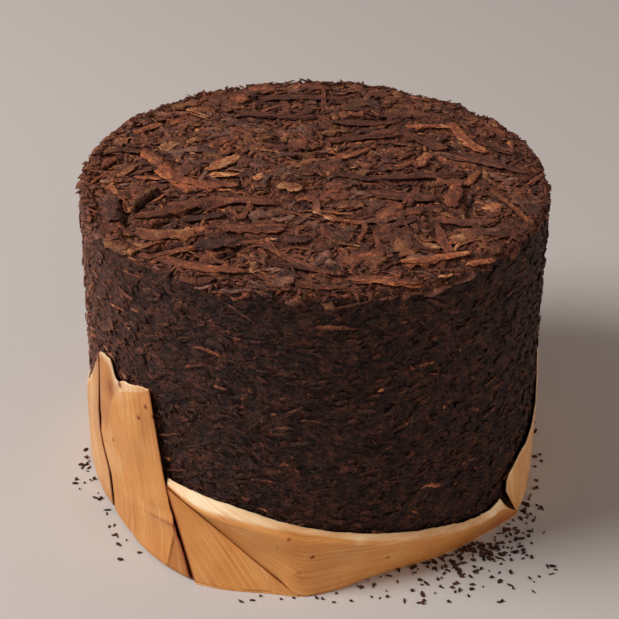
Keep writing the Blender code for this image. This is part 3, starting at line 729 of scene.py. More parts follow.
def turnLeaves(chance, x, y, heading):
    # round the navel some leaves point at it, and at the rim some lie along it
    navelX, navelY = drum["navel"]
    ring = topLay["navelRing"]
    nearNavel = hill(np.hypot(x - navelX, y - navelY) / mm - ring, ring)
    nearRim = np.clip((np.hypot(x, y) / drum["radius"] - 0.75) / 0.22, 0, 1)
    pick = chance.random(len(x))
    aimed = np.arctan2(y - navelY, x - navelX) + chance.normal(0, 0.35, len(x))
    heading = np.where(pick < topLay["aimed"] * nearNavel, aimed, heading)
    alongRim = np.arctan2(y, x) + math.pi / 2 + chance.normal(0, 0.4, len(x))
    return np.where(pick > 1 - topLay["alongRim"] * nearRim, alongRim, heading)


def layOnTop(kind):
    chance = np.random.default_rng(kind["seed"])
    count = kind["count"]
    leaves = drawLeaves(chance, kind)
    wide = leaves["size"][:, 1]
    x, y = spiralSpots(chance, count, kind.get("innermost", 0) * mm, drum["radius"] - topLay["margin"])
    heading = chance.random(count) * math.tau
    x, y, heading = clearHollows(chance, x, y, wide, heading)
    heading = turnLeaves(chance, x, y, heading)
    direction = np.stack([np.cos(heading), np.sin(heading), np.zeros(count)], axis=1)
    share, steeper = topLay["steep"]
    lean = np.radians(kind["tilt"]) * np.where(chance.random(count) < share, steeper, 1.0)
    radius = np.maximum(np.hypot(x, y), tiny)
    rolled = topLay["rimRolled"]
    over = np.clip((radius - (drum["radius"] - rolled)) / rolled, 0, 1) ** 2
    normal = np.stack([
        chance.normal(0, 1, count) * lean + 0.5 * over * x / radius,
        chance.normal(0, 1, count) * lean + 0.5 * over * y / radius,
        np.ones(count)], axis=1)
    height = topHeight(x, y) - over * topLay["rimDrop"] + drawn(chance, kind["lift"], count) * mm
    under = np.zeros(count)
    for marked in markedLeaves["leaves"]:
        away = np.hypot(*fromLine(x, y, marked))
        under = np.maximum(under, away < marked[4] * 0.5 * mm + 0.4 * wide)
    height -= topLay["under"] * under
    tone = np.maximum(leaves["tone"], topLay["darkest"])
    # painted light: the left of the top is painted paler
    tone += drum["paintedLightTop"] * np.clip(0.2 - x / drum["radius"], 0, 1)
    leaves["tone"] = np.where(radius > 0.93 * drum["radius"], np.minimum(tone, topLay["palest"]), tone)
    leaves["axes"] = leafAxes(direction, normal)
    leaves["spots"] = np.stack([x, y, height], axis=1)
    return leaves


def leaningNormals(chance, kind, count):
    lean = np.radians(kind["tilt"])
    return np.stack([chance.normal(0, lean, count), chance.normal(0, lean, count), np.ones(count)], axis=1)


def layMarked(kind):
    # the leaves that stand out, each where the list says
    chance = np.random.default_rng(kind["seed"])
    marked = np.repeat(np.array(kind["leaves"]), kind["layers"], axis=0)  # each is a few torn layers
    marked[:, :4] += chance.normal(0, kind["shaken"], (len(marked), 4))
    marked[:, 4] *= chance.uniform(*kind["narrowed"], len(marked))
    marked[:, 6] += chance.normal(0, kind["tone"][1], len(marked))
    leaves = drawLeaves(chance, {**kind, "count": len(marked)})
    ends, wide, sway = marked[:, :4] * mm, marked[:, 4] * mm, marked[:, 5] * mm
    middle = (ends[:, :2] + ends[:, 2:]) / 2
    run = ends[:, 2:] - ends[:, :2]
    leaves["size"][:, 0] = np.hypot(*run.T)
    leaves["size"][:, 1] = wide
    leaves["bend"][:, 2] = sway
    leaves["tone"], leaves["hue"] = marked[:, 6], marked[:, 7]
    normal = leaningNormals(chance, kind, len(marked))
    leaves["axes"] = leafAxes(np.stack([run[:, 0], run[:, 1], 0 * sway], axis=1), normal)
    height = topHeight(*middle.T) + drawn(chance, kind["lift"], len(marked)) * mm
    leaves["spots"] = np.stack([middle[:, 0], middle[:, 1], height], axis=1)
    return leaves


def layCrumbs(kind):
    # crumbs that fell beside the drum
    chance = np.random.default_rng(kind["seed"])
    count = kind["count"]
    leaves = drawLeaves(chance, kind)
    drifts = np.array(kind["drifts"])
    which = chance.choice(len(drifts), count, p=drifts[:, 4] / drifts[:, 4].sum())
    spots = chance.normal(drifts[which, :2], drifts[which, 2:4]) * mm
    farthest = np.array(kind["farthest"]) * mm
    spots = np.where(np.abs(spots) > farthest, np.sign(spots) * (2 * farthest - np.abs(spots)), spots)
    feet = [station[0][:2] for station in leftStations + frontStations]
    feet = sorted(feet + [station[:2] for station in rightStations])
    wall = np.interp(np.degrees(np.arctan2(spots[:, 1], spots[:, 0])), *zip(*feet)) * mm
    gap = (1 + 2 * chance.random(count)) * mm  # they lie clear of the sheath
    spots *= np.maximum(1, (wall + gap) / np.hypot(*spots.T))[:, None]
    heading = chance.random(count) * math.tau
    normal = leaningNormals(chance, kind, count)
    leaves["axes"] = leafAxes(np.stack([np.cos(heading), np.sin(heading), 0 * heading], axis=1), normal)
    leaves["spots"] = np.column_stack([spots, drawn(chance, kind["lift"], count) * mm])
    return leaves


sideLay = {
    "steps": (0.7548776662, 0.5698402910),  # round and up: they spread any number of leaves evenly
    "foot": 4 * mm,
    "brow": 0.8 * mm,  # how far below the top the leaves end
    "edge": 4 * mm,  # over this height the side turns in at the top
    "edgeDepth": 1.4 * mm,
}


def layOnSide(kind):
    chance = np.random.default_rng(kind["seed"])
    count = kind["count"]
    leaves = drawLeaves(chance, kind)
    order = np.arange(count)
    low, high = drum["bottom"] + sideLay["foot"], drum["top"] - sideLay["brow"]
    azimuth = order * sideLay["steps"][0] % 1 * 360 + chance.normal(0, 0.4, count)
    height = between(low, high, order * sideLay["steps"][1] % 1) + chance.normal(0, 0.6 * mm, count)
    leaves["bend"][:, 0] += leaves["size"][:, 0] ** 2 / (8 * drum["radius"])  # round the drum
    turn = np.radians(azimuth)
    outward = np.stack([np.cos(turn), np.sin(turn), np.zeros(count)], axis=1)
    level = np.stack([-np.sin(turn), np.cos(turn), np.zeros(count)], axis=1)
    upward = np.array([0, 0, 1.0])
    slope = np.radians(chance.normal(0, kind["slope"], count))[:, None]
    lean = np.radians(kind["tilt"])
    rounding = drum["bottomRounding"]
    under = np.clip((drum["bottom"] + rounding - height) / rounding, 0, 1)  # the side turns in here
    over = np.clip((height - (drum["top"] - sideLay["edge"])) / sideLay["edge"], 0, 1)  # and here
    inset = rounding * (1 - np.sqrt(1 - under ** 2)) + over ** 2 * sideLay["edgeDepth"]
    normal = outward + level * chance.normal(0, lean, (count, 1))
    normal += upward * chance.normal(0, lean, (count, 1))
    normal[:, 2] += 0.5 * over - 0.9 * under
    radius = drum["radius"] - flatSide(azimuth) - inset + drawn(chance, kind["lift"], count) * mm
    # painted light and sheen: leaves on the side facing the key light are painted paler and greyer
    leaves["tone"] = np.clip(leaves["tone"] + sideTone(azimuth), 0.08, 0.95)
    leaves["hue"] = np.clip(leaves["hue"] - drum["paintedSheenGrey"] * sideTone(azimuth), -1, 1)
    leaves["axes"] = leafAxes(level * np.cos(slope) + upward * np.sin(slope), normal)
    leaves["spots"] = outward * radius[:, None] + upward * height[:, None]
    return leaves


def makeLeaves(pressed, crumbled):
    for lay, finish, kinds in (
        (layOnTop, pressed, (broadLeaves, stripLeaves, leafBits, rimBits)),
        (layMarked, pressed, (markedLeaves,)),
        (layOnSide, crumbled, (sideFlakes, sideShreds, sideStreaks)),
        (layCrumbs, pressed, (crumbs,)),
    ):
        for kind in kinds:
            leaves = lay(kind)
            chance = np.random.default_rng(kind["seed"] + 100)
            blanks = [leafBlank(chance, kind) for _ in range(kind["blanks"])]
            piece = addPiece(kind["name"], joinLeaves(kind, leaves, blanks), finish)
            takePlace(piece, "tea_column")


# The bamboo sheath wrapper. Stations run anticlockwise round the drum, seen from above, and
# each rail is a line through one point of every station.
sheath = {
    "thickness": 0.65 * mm,
    "wall": 117.2 * mm,  # outer face where it hugs the drum
    "lip": 116.5 * mm,
    "tucked": 106 * mm,  # how far the standing sheaths reach in under the drum
    "ribs": (0.85, 0.014, 1),  # to a millimetre, across and along the grain
    "fibres": (2.2, 0.05, 1),
    "clouds": 45,  # to a metre
    "specks": (95, 0.045),  # to a metre, and their size
    "relief": 0.22 * mm,
    "roughness": (0.38, 0.55),
    "tornRows": 6,  # millimetres below a torn edge that are drawn out with it
    "grainShift": 61,  # millimetres, so that no two sheets have the same ribs
}

sheathColours = {
    "outer": (
        (0.20, (0.370, 0.1220, 0.0240)),
        (0.45, (0.590, 0.2420, 0.0620)),
        (0.60, (0.670, 0.3050, 0.0880)),
        (0.80, (0.800, 0.4500, 0.1600)),
    ),
    "pale": (
        (0.25, (0.720, 0.4400, 0.2200)),
        (0.50, (0.900, 0.6450, 0.3800)),
        (0.75, (0.980, 0.8000, 0.5600)),
    ),
    "speck": (0.080, 0.030, 0.012, 1),
    # dark brown for real stains and for painted shade
    "stainAndPaintedShade": (0.330, 0.120, 0.050, 1),
}


def sheathFinish(name):
    # dry bamboo sheath: ribs and fibres along the grain, a paler inner side, small dark specks
    finish = Finish(name)
    ribs = finish.noise(finish.uvMap("grain", sheath["ribs"]), 1.0, 4, 0.66)
    fibres = finish.noise(finish.uvMap("grain", sheath["fibres"]), 1.0, 2, 0.5)
    cloudy = finish.noise(finish.objectSpace(), sheath["clouds"], 4, 0.6)
    pale = finish.attribute("pale")
    shade = finish.attribute("shade")
    value = ribs * 0.80 + fibres * 0.25 + (cloudy - 0.5) * 0.65 + 0.005
    paler = finish.remap(pale + (ribs - 0.5) * 0.25 + (cloudy - 0.5) * 0.5, 0.1, 0.9)
    outer, inner = finish.ramp(value, sheathColours["outer"]), finish.ramp(value, sheathColours["pale"])
    colour = finish.mix(paler, outer, inner)
    # the shade attribute pulls the colour towards dark brown: real stains, blotches and knots, and painted
    # shade and shadow at folds, creases, slits and edges
    stainAndPaintedShade = finish.remap(cloudy * 0.6 + shade, 0.34, 1.25)
    colour = finish.mix(stainAndPaintedShade, colour, sheathColours["stainAndPaintedShade"], "MULTIPLY")
    specks = finish.specks(finish.objectSpace(), *sheath["specks"])
    colour = finish.mix(specks, colour, sheathColours["speck"])
    relief = finish.bump(ribs * 0.6 + fibres * 0.3, 0.6, sheath["relief"])
    rough = finish.remap(ribs, 0.3, 0.7, *sheath["roughness"])
    return finish.set(Base_Color=colour, Roughness=rough, Normal=relief, Specular_IOR_Level=0.4)


def alongRail(rail, places):
    # the rail as one smooth curve through its stations
    step = np.clip(np.floor(places).astype(int), 0, len(rail) - 2)
    t = (places - step)[..., None]
    before, after = rail[np.maximum(step - 1, 0)], rail[np.minimum(step + 2, len(rail) - 1)]
    first, second = rail[step], rail[step + 1]
    return first + 0.5 * t * (second - before + t * (
        2 * before - 5 * first + 4 * second - after + t * (3 * (first - second) + after - before)))


def acrossRails(lines, height, softness):
    # a row of points this many rails up, with the fold at each rail rounded
    near = round(height)
    if 0 < near < len(lines) - 1 and abs(height - near) < softness:
        t = (height - near + softness) / (2 * softness)
        start = between(lines[near], lines[near - 1], softness)
        end = between(lines[near], lines[near + 1], softness)
        return (1 - t) ** 2 * start + 2 * t * (1 - t) * lines[near] + t * t * end
    lower = min(int(height), len(lines) - 2)
    return between(lines[lower], lines[lower + 1], height - lower)


def wander(chance, places, wavelength):
    # a smooth random line
    knots = chance.uniform(-1, 1, int(np.max(places) / wavelength) + 3)
    return np.interp(places / wavelength, np.arange(len(knots)), knots)


def sheetPoints(sheet, rails):
    # the smooth sheet by rows and columns, with the station and the rail of every point
    heights = [0.0]
    for span, rows in enumerate(sheet["rows"]):
        heights += [span + (i + 1) / rows for i in range(rows)]
    share = np.linspace(0, 1, sheet["columns"] + 1)
    end = len(rails[0]) - 1
    left = np.interp(heights, *zip(*sheet.get("left", ((0, 0), (1, 0)))))
    right = np.interp(heights, *zip(*sheet.get("right", ((0, end), (1, end)))))
    places = np.array([between(first, last, share) for first, last in zip(left, right)])
    points = []
    for height, row in zip(heights, places):
        lines = [alongRail(rail, row) for rail in rails]
        points.append(acrossRails(lines, height, sheet["softness"]))
    return np.array(points), places, np.array(heights)[:, None] + 0 * share


def measureSheet(points, places, heights):
    # what the settings of a sheet read: stations and rails, and millimetres to the right, up and
    # down from the free edge
    steps = np.linalg.norm(np.diff(points, axis=1), axis=2).mean(axis=0)
    rises = np.linalg.norm(np.diff(points, axis=0), axis=2)
    high = np.concatenate([np.zeros((1, len(steps) + 1)), np.cumsum(rises, axis=0)]) / mm
    return SimpleNamespace(
        place=places,
        height=heights,
        azimuth=np.degrees(np.arctan2(points[..., 1], points[..., 0])),
        z=points[..., 2] / mm,
        noise=np.array([[noise.noise(Vector(point) * 90) for point in row] for row in points]),
        wide=np.concatenate([[0], np.cumsum(steps)])[None] / mm + 0 * heights,
        high=high,
        fromTop=high[-1][None] - high,
    )


def grainPlaces(at, grainTurn):
    # millimetres across and along the grain
    turn = math.radians(grainTurn)
    across = at.wide * math.cos(turn) + at.high * math.sin(turn)
    along = at.high * math.cos(turn) - at.wide * math.sin(turn)
    return across - across.min(), along - along.min()


def tearEdge(chance, points, at, torn):
    # the free edge is torn: its last rows are drawn out and in
    tear = torn * (wander(chance, at.wide[0], 5) + 0.6 * wander(chance, at.wide[0], 1.6)) * mm
    rises = np.diff(points, axis=0)
    upward = np.zeros_like(points)
    upward[1:] = rises / np.maximum(np.linalg.norm(rises, axis=2), tiny)[..., None]
    return points + upward * (tear[None] * np.clip(1 - at.fromTop / sheath["tornRows"], 0, 1))[..., None]


def buckleSheet(chance, points, at, across, along, sheet):
    # slow buckles of the dry sheet along its grain, and what its own settings push in or out
    buckle = wander(chance, across, 9) * np.cos(along / 31 + sheet["seed"])
    buckle += 0.5 * wander(chance, across + 0.12 * along, 4)
    outward = points * (1, 1, 0)
    outward /= np.linalg.norm(outward, axis=2, keepdims=True)
    free = np.clip(at.height - sheet["firstFree"], 0, 1)
    points = points + outward * (buckle * free * sheet["buckle"] * mm)[..., None]
    if "pushed" in sheet:
        points += outward * (sheet["pushed"](at) * mm)[..., None]
    points[..., 2] = np.maximum(points[..., 2], sheet.get("lowest", 0) * mm)
    return points


def sheetMesh(name, points, grain, paleness, shading):
    # a grid laid on the points, with the UV along the grain and the two finish values
    rows, columns = points.shape[0] - 1, points.shape[1] - 1
    bm = bmesh.new()
    bmesh.ops.create_grid(bm, x_segments=columns, y_segments=rows, size=0.5)
    own = bm.loops.layers.uv.new("grain")
    pale, shade = bm.verts.layers.float.new("pale"), bm.verts.layers.float.new("shade")
    place = {}
    for vertex in bm.verts:
        place[vertex] = (round((vertex.co.y + 0.5) * rows), round((vertex.co.x + 0.5) * columns))
    for face in bm.faces:
        face.smooth = True
        for loop in face.loops:
            loop[own].uv = grain[place[loop.vert]]
    for vertex, here in place.items():
        vertex.co = points[here]
        vertex[pale] = paleness[here]
        vertex[shade] = shading[here]
    bmesh.ops.remove_doubles(bm, verts=bm.verts[:], dist=0.03 * mm)
    bmesh.ops.dissolve_degenerate(bm, edges=bm.edges[:], dist=0.03 * mm)
    mesh = bpy.data.meshes.new(name)
    bm.to_mesh(mesh)
    bm.free()
    return mesh


def makeSheet(name, node, sheet, finishes):
    chance = np.random.default_rng(sheet["seed"])
    rails = [np.array([point[:] for point in rail]) for rail in sheet["rails"]]
    points, places, heights = sheetPoints(sheet, rails)
    at = measureSheet(points, places, heights)
    across, along = grainPlaces(at, sheet["grainTurn"])
    points = tearEdge(chance, points, at, sheet["torn"])
    points = buckleSheet(chance, points, at, across, along, sheet)
    grain = np.stack([across + sheath["grainShift"] * sheet["seed"], along], axis=-1)
    shading = sheet["shade"](at)
    for azimuth, z, wide, tall, darker in sheet.get("marks", ()):
        shading = shading + darker * spot(at, azimuth, z, wide, tall)
    piece = addPiece(name, sheetMesh(name, points, grain, sheet["pale"](at), shading), *finishes)
    wall = piece.modifiers.new("wall", "SOLIDIFY")
    wall.thickness = sheath["thickness"]
    wall.offset = -1
    wall.material_offset = 1
    wall.material_offset_rim = 1
    takePlace(piece, node)


def tuckedUnder(feet, radius):
    # the edge under the drum, level with the feet
    return [Vector((foot.x, foot.y, 0)).normalized() * radius for foot in feet]


def spot(at, azimuth, z, wide, tall):
    # 1 in the middle of a spot on a sheet, falling off round it
    return np.exp(-(((at.azimuth - azimuth) / wide) ** 2) - ((at.z - z) / tall) ** 2)


# The tall sheath at the left: foot, knee, waist and torn top of each station
leftStations = (
    ((-198.0, 117.2), (-198.0, 117.2, 12.0), (-198.0, 117.2, 26.0), (-198.0, 38.0)),
    ((-193.0, 117.2), (-193.0, 117.2, 12.5), (-193.0, 117.2, 26.5), (-193.0, 41.0)),
    ((-188.0, 117.2), (-188.0, 117.2, 13.0), (-188.0, 117.2, 27.0), (-187.5, 38.0)),
    ((-183.0, 117.4), (-183.0, 117.2, 13.5), (-183.0, 117.2, 27.5), (-182.5, 41.0)),
    ((-177.5, 117.4), (-177.5, 117.2, 14.0), (-177.5, 117.2, 28.0), (-177.0, 42.0)),
    ((-172.0, 117.4), (-172.0, 117.4, 14.5), (-172.0, 117.4, 30.0), (-171.0, 47.0)),
    ((-166.5, 116.6), (-166.5, 117.4, 15.0), (-166.5, 117.4, 32.0), (-164.0, 59.0)),
    ((-160.5, 116.8), (-160.5, 117.4, 15.5), (-160.5, 117.4, 34.0), (-158.5, 70.0)),
    ((-154.5, 117.2), (-154.5, 117.5, 16.0), (-154.5, 117.5, 36.0), (-154.5, 81.0)),
    ((-148.8, 117.6), (-149.4, 117.7, 16.5), (-150.0, 117.7, 38.0), (-151.6, 90.5)),
    ((-144.5, 119.0), (-145.5, 118.2, 17.0), (-146.2, 117.8, 39.0), (-148.4, 92.4)),
    ((-140.3, 120.6), (-141.6, 118.8, 17.5), (-142.5, 117.8, 39.5), (-145.9, 91.2)),
    ((-136.2, 122.7), (-137.6, 119.6, 17.5), (-138.8, 117.8, 40.0), (-143.2, 83.6)),
    ((-132.2, 124.9), (-133.6, 120.6, 17.5), (-135.2, 118.0, 40.5), (-139.9, 86.4)),
    ((-127.9, 127.1), (-129.4, 121.8, 17.5), (-132.0, 118.2, 41.0), (-136.6, 88.4)),
    ((-123.6, 129.1), (-125.2, 123.0, 17.5), (-129.0, 118.4, 41.5), (-133.6, 89.8)),
    ((-119.8, 130.6), (-122.6, 124.0, 18.0), (-127.6, 118.6, 42.0), (-132.0, 90.8)),
    ((-116.0, 131.8), (-120.9, 124.6, 18.5), (-126.4, 118.6, 42.0), (-130.8, 91.7)),
)
# The slit between the narrow strip at the far left and the panel beside it: height in rails,
# station, and the gap's width in stations
slit = (
    (1, 9.50, 0.60), (1.5, 9.49, 0.60), (2, 9.42, 0.58), (2.25, 9.33, 0.56), (2.57, 8.95, 0.52),
    (2.9, 8.55, 0.47), (3.13, 8.26, 0.42), (3.4, 8.18, 0.36), (3.65, 8.40, 0.32), (3.92, 8.75, 0.28),
    (4, 8.85, 0.28),
)


def fromSlit(at):
    # how far left of the slit, in stations
    height, place, gap = np.array(slit).T
    return np.interp(at.height, height, place - gap) - at.place


def stripShade(at):
    # painted shade: darker towards the slit, where the edge turns in, and a painted shadow at the slit's edge
    shade = 0.12 * at.noise + 0.35 * hill(at.fromTop, 4) * (at.place > 7.2)
    shade += 0.6 * hill(fromSlit(at), 0.12)
    return shade + np.interp(at.height, (2, 2.6, 3.2), (0.08, 0.18, 0.28)) * hill(fromSlit(at), 0.9)


def stripPushed(at):
    return -0.6 * hill(fromSlit(at), 0.45) * (at.height > 1)


leftStrip = {
    "seed": 21, "columns": 80, "rows": (2, 10, 12, 40), "softness": 0.22, "firstFree": 1.2,
    "right": [(0, slit[0][1])] + [(height, place - gap) for height, place, gap in slit],
    "torn": 0.5, "buckle": 0.25, "grainTurn": 0,
    "pale": lambda at: 0.26 + 0.5 * np.exp(-at.fromTop / 1.5),
    "shade": stripShade, "pushed": stripPushed,
}


def panelFacet(at):
    # the corner at the foot, folded back behind the panel's right edge
    edge = np.interp(at.height, (1, 1.69, 2, 2.25), (15.15, 15.7, 16.2, 16.9))
    return np.clip((at.place - edge) / 0.12, 0, 1) * (at.height >= 0.95) * (at.height < 2.25)


def panelCrease(at):
    # how far above the crease across the foot of the panel
    return at.height - np.interp(at.place, (12.2, 13.4, 14.4, 15.4, 17), (2.02, 2.15, 2.19, 2.23, 2.21))


def panelTurned(at):
    # the upper left of the panel, turned in towards the slit
    edge = np.interp(at.z, (43, 60, 71, 80), (-149.2, -146.4, -144.6, -142))
    return np.clip((edge - at.azimuth) / 1.2, 0, 1) * np.clip((at.z - 42) / 7, 0, 1)


def panelPale(at):
    # pale where the tip is torn and where the edge right of it is bent over
    torn = hill(at.fromTop, np.interp(at.place, (9.4, 10.5, 11.6, 12.2), (2.5, 4.0, 6.5, 0.8)))
    bent = at.fromTop < np.interp(at.place, (12.1, 12.3, 17), (0.1, 5.6, 0.7))
    pale = 0.08 + 0.9 * torn * (at.place < 12.3) + 0.36 * bent
    return pale + 0.12 * spot(at, -147, 40, 2, 14) + 0.15 * np.exp(-at.fromTop / 0.5)


def panelShade(at):
    above = panelCrease(at)
    # painted shade on the upper left, where the panel turns in towards the slit
    shade = 0.16 * at.noise + 0.32 * panelTurned(at)
    # painted shade on the facet folded back at the foot
    shade += panelFacet(at) * np.interp(at.place, (15.2, 16.5, 17), (0.34, 0.40, 0.65))
    shade += 0.9 * np.clip((at.place - 16.75) / 0.25, 0, 1) * (at.height < 2.7)  # painted shadow along the right edge
    # painted shade towards the right edge, where the panel turns away from the light
    shade += 0.18 * np.clip((at.place - 15.6) / 1.4, 0, 1) * (at.z > 30)
    # painted shade along the crease and softly above it, and the foot below it darker
    shade += np.interp(at.place, (12.2, 14, 16), (0.0, 0.22, 0.45)) * hill(above, 0.03)
    shade += 0.10 * (above < 0)
    shade += np.interp(at.place, (11.5, 14, 17), (0, 0.22, 0.34)) * np.exp(-above / 0.14) * (above > 0)
    # painted shade along a short crease that runs down from its left end
    short = hill(at.place - 12.15 - 0.5 * (2.12 - at.height), 0.06)
    return shade + 0.26 * short * (at.height < 2.12) * (at.height > 1.35)


def panelPushed(at):
    below = np.clip(2 - at.height, 0, 1) * (at.height > 0.95)
    above = panelCrease(at)
    crease = 0.9 * np.exp(-np.abs(above + 0.02) / 0.14) - 0.6 * hill(above - 0.16, 0.10)
    pushed = crease * np.clip((at.place - 12) / 3.5, 0, 1) * (1 - panelFacet(at))
    pushed -= 1.1 * panelFacet(at) * np.sin(np.pi * below) ** 0.5
    pushed -= 0.5 * hill(at.azimuth + 137.2, 1.2) * below
    pushed -= 0.7 * panelTurned(at) * np.clip((-142 - at.azimuth) / 6, 0, 1)
    return pushed + 0.6 * spot(at, -140, 58, 5, 16)


leftPanel = {
    "seed": 22, "columns": 150, "rows": (2, 30, 40, 60), "softness": 0.22, "firstFree": 1.2,
    "left": [(0, slit[0][1])] + [(height, place) for height, place, gap in slit],
    "torn": 0.45, "buckle": 0.35, "grainTurn": 0,
    "pale": panelPale, "shade": panelShade, "pushed": panelPushed,
    "marks": (  # azimuth and height, width and height of the mark, and how dark: soft shade, then knots
        (-146.5, 76, 1.6, 5, 0.35), (-131.5, 72, 3.0, 14, 0.30), (-134, 50, 1.6, 16, 0.16),
        (-137.5, 36, 1.2, 12, 0.12),
        (-141.4, 83.2, 0.75, 1.5, 1.6), (-131.8, 80.5, 0.45, 0.9, 1.6), (-134.4, 71.8, 0.45, 0.9, 1.6),
        (-145.6, 46.5, 0.4, 0.8, 1.6), (-129.4, 77.0, 0.4, 0.8, 1.6),
    ),
}


def makeLeftSheath(finishes):
    feet = [polar(azimuth, radius * mm, 0) for (azimuth, radius), _, _, _ in leftStations]
    knee = [polar(azimuth, radius * mm, height * mm) for _, (azimuth, radius, height), _, _ in leftStations]
    waist = [polar(azimuth, radius * mm, height * mm) for _, _, (azimuth, radius, height), _ in leftStations]
    tops = [polar(azimuth, sheath["wall"], height * mm) for _, _, _, (azimuth, height) in leftStations]
    rails = (tuckedUnder(feet, sheath["tucked"]), feet, knee, waist, tops)
    makeSheet("sheath_left_strip", "sheath_left", {**leftStrip, "rails": rails}, finishes)
    makeSheet("sheath_left_panel", "sheath_left", {**leftPanel, "rails": rails}, finishes)


# The low band at the front: foot, shoulder and free lip of each station
frontStations = (
    ((-114.9, 131.3), (-125.9, 118.0, 41.2), (-126.1, 43.9)),
    ((-111.6, 130.6), (-120.6, 120.4, 38.4), (-121.0, 43.0)),
    ((-107.9, 129.8), (-115.6, 122.4, 36.4), (-116.2, 42.2)),
    ((-104.2, 128.6), (-110.4, 123.2, 35.6), (-111.4, 41.2)),
    ((-100.4, 127.5), (-104.8, 123.4, 34.6), (-106.0, 39.6)),
    ((-96.3, 127.4), (-98.6, 123.4, 33.0), (-99.4, 36.4)),
    ((-92.2, 127.9), (-92.4, 123.3, 31.0), (-92.6, 33.4)),
    ((-85.7, 124.3), (-85.9, 122.8, 28.8), (-85.7, 30.4)),
    ((-81.4, 120.8), (-82.0, 122.4, 26.8), (-81.4, 28.7)),
    ((-77.1, 117.4), (-78.2, 122.0, 24.8), (-77.0, 27.0)),
    ((-72.3, 115.4), (-73.4, 121.6, 23.0), (-72.6, 25.3)),
    ((-67.6, 114.6), (-68.6, 121.2, 21.2), (-68.2, 23.8)),
    ((-62.2, 115.0), (-63.0, 120.8, 18.9), (-62.4, 21.6)),
    ((-56.8, 115.5), (-57.4, 120.3, 16.0), (-56.4, 19.0)),
    ((-51.4, 116.0), (-51.8, 119.9, 13.6), (-51.0, 16.6)),
    ((-45.6, 116.6), (-46.2, 119.5, 11.3), (-45.6, 14.3)),
    ((-40.3, 117.8), (-41.0, 119.2, 9.5), (-40.8, 13.0)),
    ((-36.6, 119.0), (-37.6, 118.8, 8.4), (-37.6, 13.2)),
    ((-33.6, 120.3), (-35.4, 119.4, 7.5), (-35.8, 13.6)),
    ((-30.6, 121.2), (-31.6, 121.0, 3.2), (-33.4, 5.0)),
)
flapCorner = 6  # the station where the folded flap ends in a corner on the floor


def bandPale(at):
    edge = np.interp(at.place, (0, 4, 7, 11, 19), (2.06, 2.22, 2.35, 2.15, 1.95))
    lip = np.interp(at.place, (0, 3.5, 5.5, 11, 18), (1.0, 0.85, 0.50, 0.50, 0.52))
    lip *= np.clip((at.height - edge) / 0.2, 0, 1)
    lip += 0.5 * spot(at, -39, 12.5, 3.5, 3.5) * (at.height > 2.0)
    lip += 0.16 * spot(at, -106, 31, 6, 3) + 0.35 * spot(at, -79, 26, 1.6, 1.5)
    return lip + 0.2 * np.exp(-at.fromTop / 0.4)


def bandPushed(at):
    wrinkled = np.interp(at.azimuth, (-66, -60, -44, -36), (0, 1, 1, 0.3)) * np.clip(at.height - 1.2, 0, 1)
    ripple = np.sin(at.wide * 0.6 + 0.3 * at.high) + 0.7 * np.sin(at.wide * 1.37 - 0.5 * at.high + 1)
    return wrinkled * (0.2 * ripple + 0.5 * at.noise)


def bandShade(at):
    # painted shade: a dark line along the shoulder fold, and a darker right end, turned away from the light
    shoulder = hill(at.height - 2.0, 0.05) * np.interp(at.place, (0, 5, 12, 18), (0.5, 0.2, 0.6, 1.0))
    rightEnd = np.interp(at.azimuth, (-84, -62, -50, -40), (0.0, 0.06, 0.34, 0.6))
    return 0.12 * at.noise + 0.24 * shoulder + rightEnd * np.clip(2.25 - at.height, 0, 1)


frontBand = {
    "seed": 31, "columns": 190, "rows": (2, 24, 8), "softness": 0.12, "firstFree": 0.4, "lowest": 1.2,
    "torn": 0.25, "buckle": 0.3, "grainTurn": 90, "pushed": bandPushed,
    "pale": bandPale, "shade": bandShade,
    "marks": (
        (-95, 24, 6, 4, 0.30), (-85, 20, 8, 6, 0.16), (-89.8, 21.2, 0.35, 0.6, 1.5),
        (-92.6, 13.0, 0.35, 0.6, 1.5), (-94.7, 30.6, 0.35, 0.6, 1.5), (-72, 12, 0.35, 0.6, 1.5),
    ),
}


def flapPale(at):
    # a pale scratch down the flap
    run = np.clip((at.azimuth + 105.9) / 6.4, 0, 1)
    scratch = hill(at.z - between(24.2, 7.0, run), 0.5) * (run > 0) * (run < 1)
    return 0.02 + 0.75 * scratch * np.clip(at.noise + 0.7, 0, 1)


def flapShade(at):
    # painted shadow along the flap's top edge
    shade = 0.15 + 0.14 * at.noise + 0.9 * hill(at.fromTop, 0.55)
    return shade + 1.1 * hill(at.wide, 0.9) * (at.height > 1)  # painted shadow of the panel's edge


frontFlap = {
    "seed": 32, "columns": 70, "rows": (2, 30), "softness": 0.05, "firstFree": 1.0, "lowest": 0.7,
    "torn": 0.0, "buckle": 0.25, "grainTurn": 28,
    "pale": flapPale, "shade": flapShade,
    # painted shadow in the small opening at the flap's corner
    "marks": ((-92.9, 3.4, 0.5, 1.0, 1.2), (-93.8, 5.2, 0.5, 1.0, 1.2), (-93.4, 2.0, 0.5, 1.0, 1.2)),
}
baseSheet = {
    "seed": 33, "columns": 90, "rows": (4, 1), "softness": 0.1, "firstFree": 3.0,
    "torn": 0.0, "buckle": 0.0, "grainTurn": 0,
    "pale": lambda at: 0.1 + 0 * at.z,
    "shade": lambda at: 0 * at.z,
}


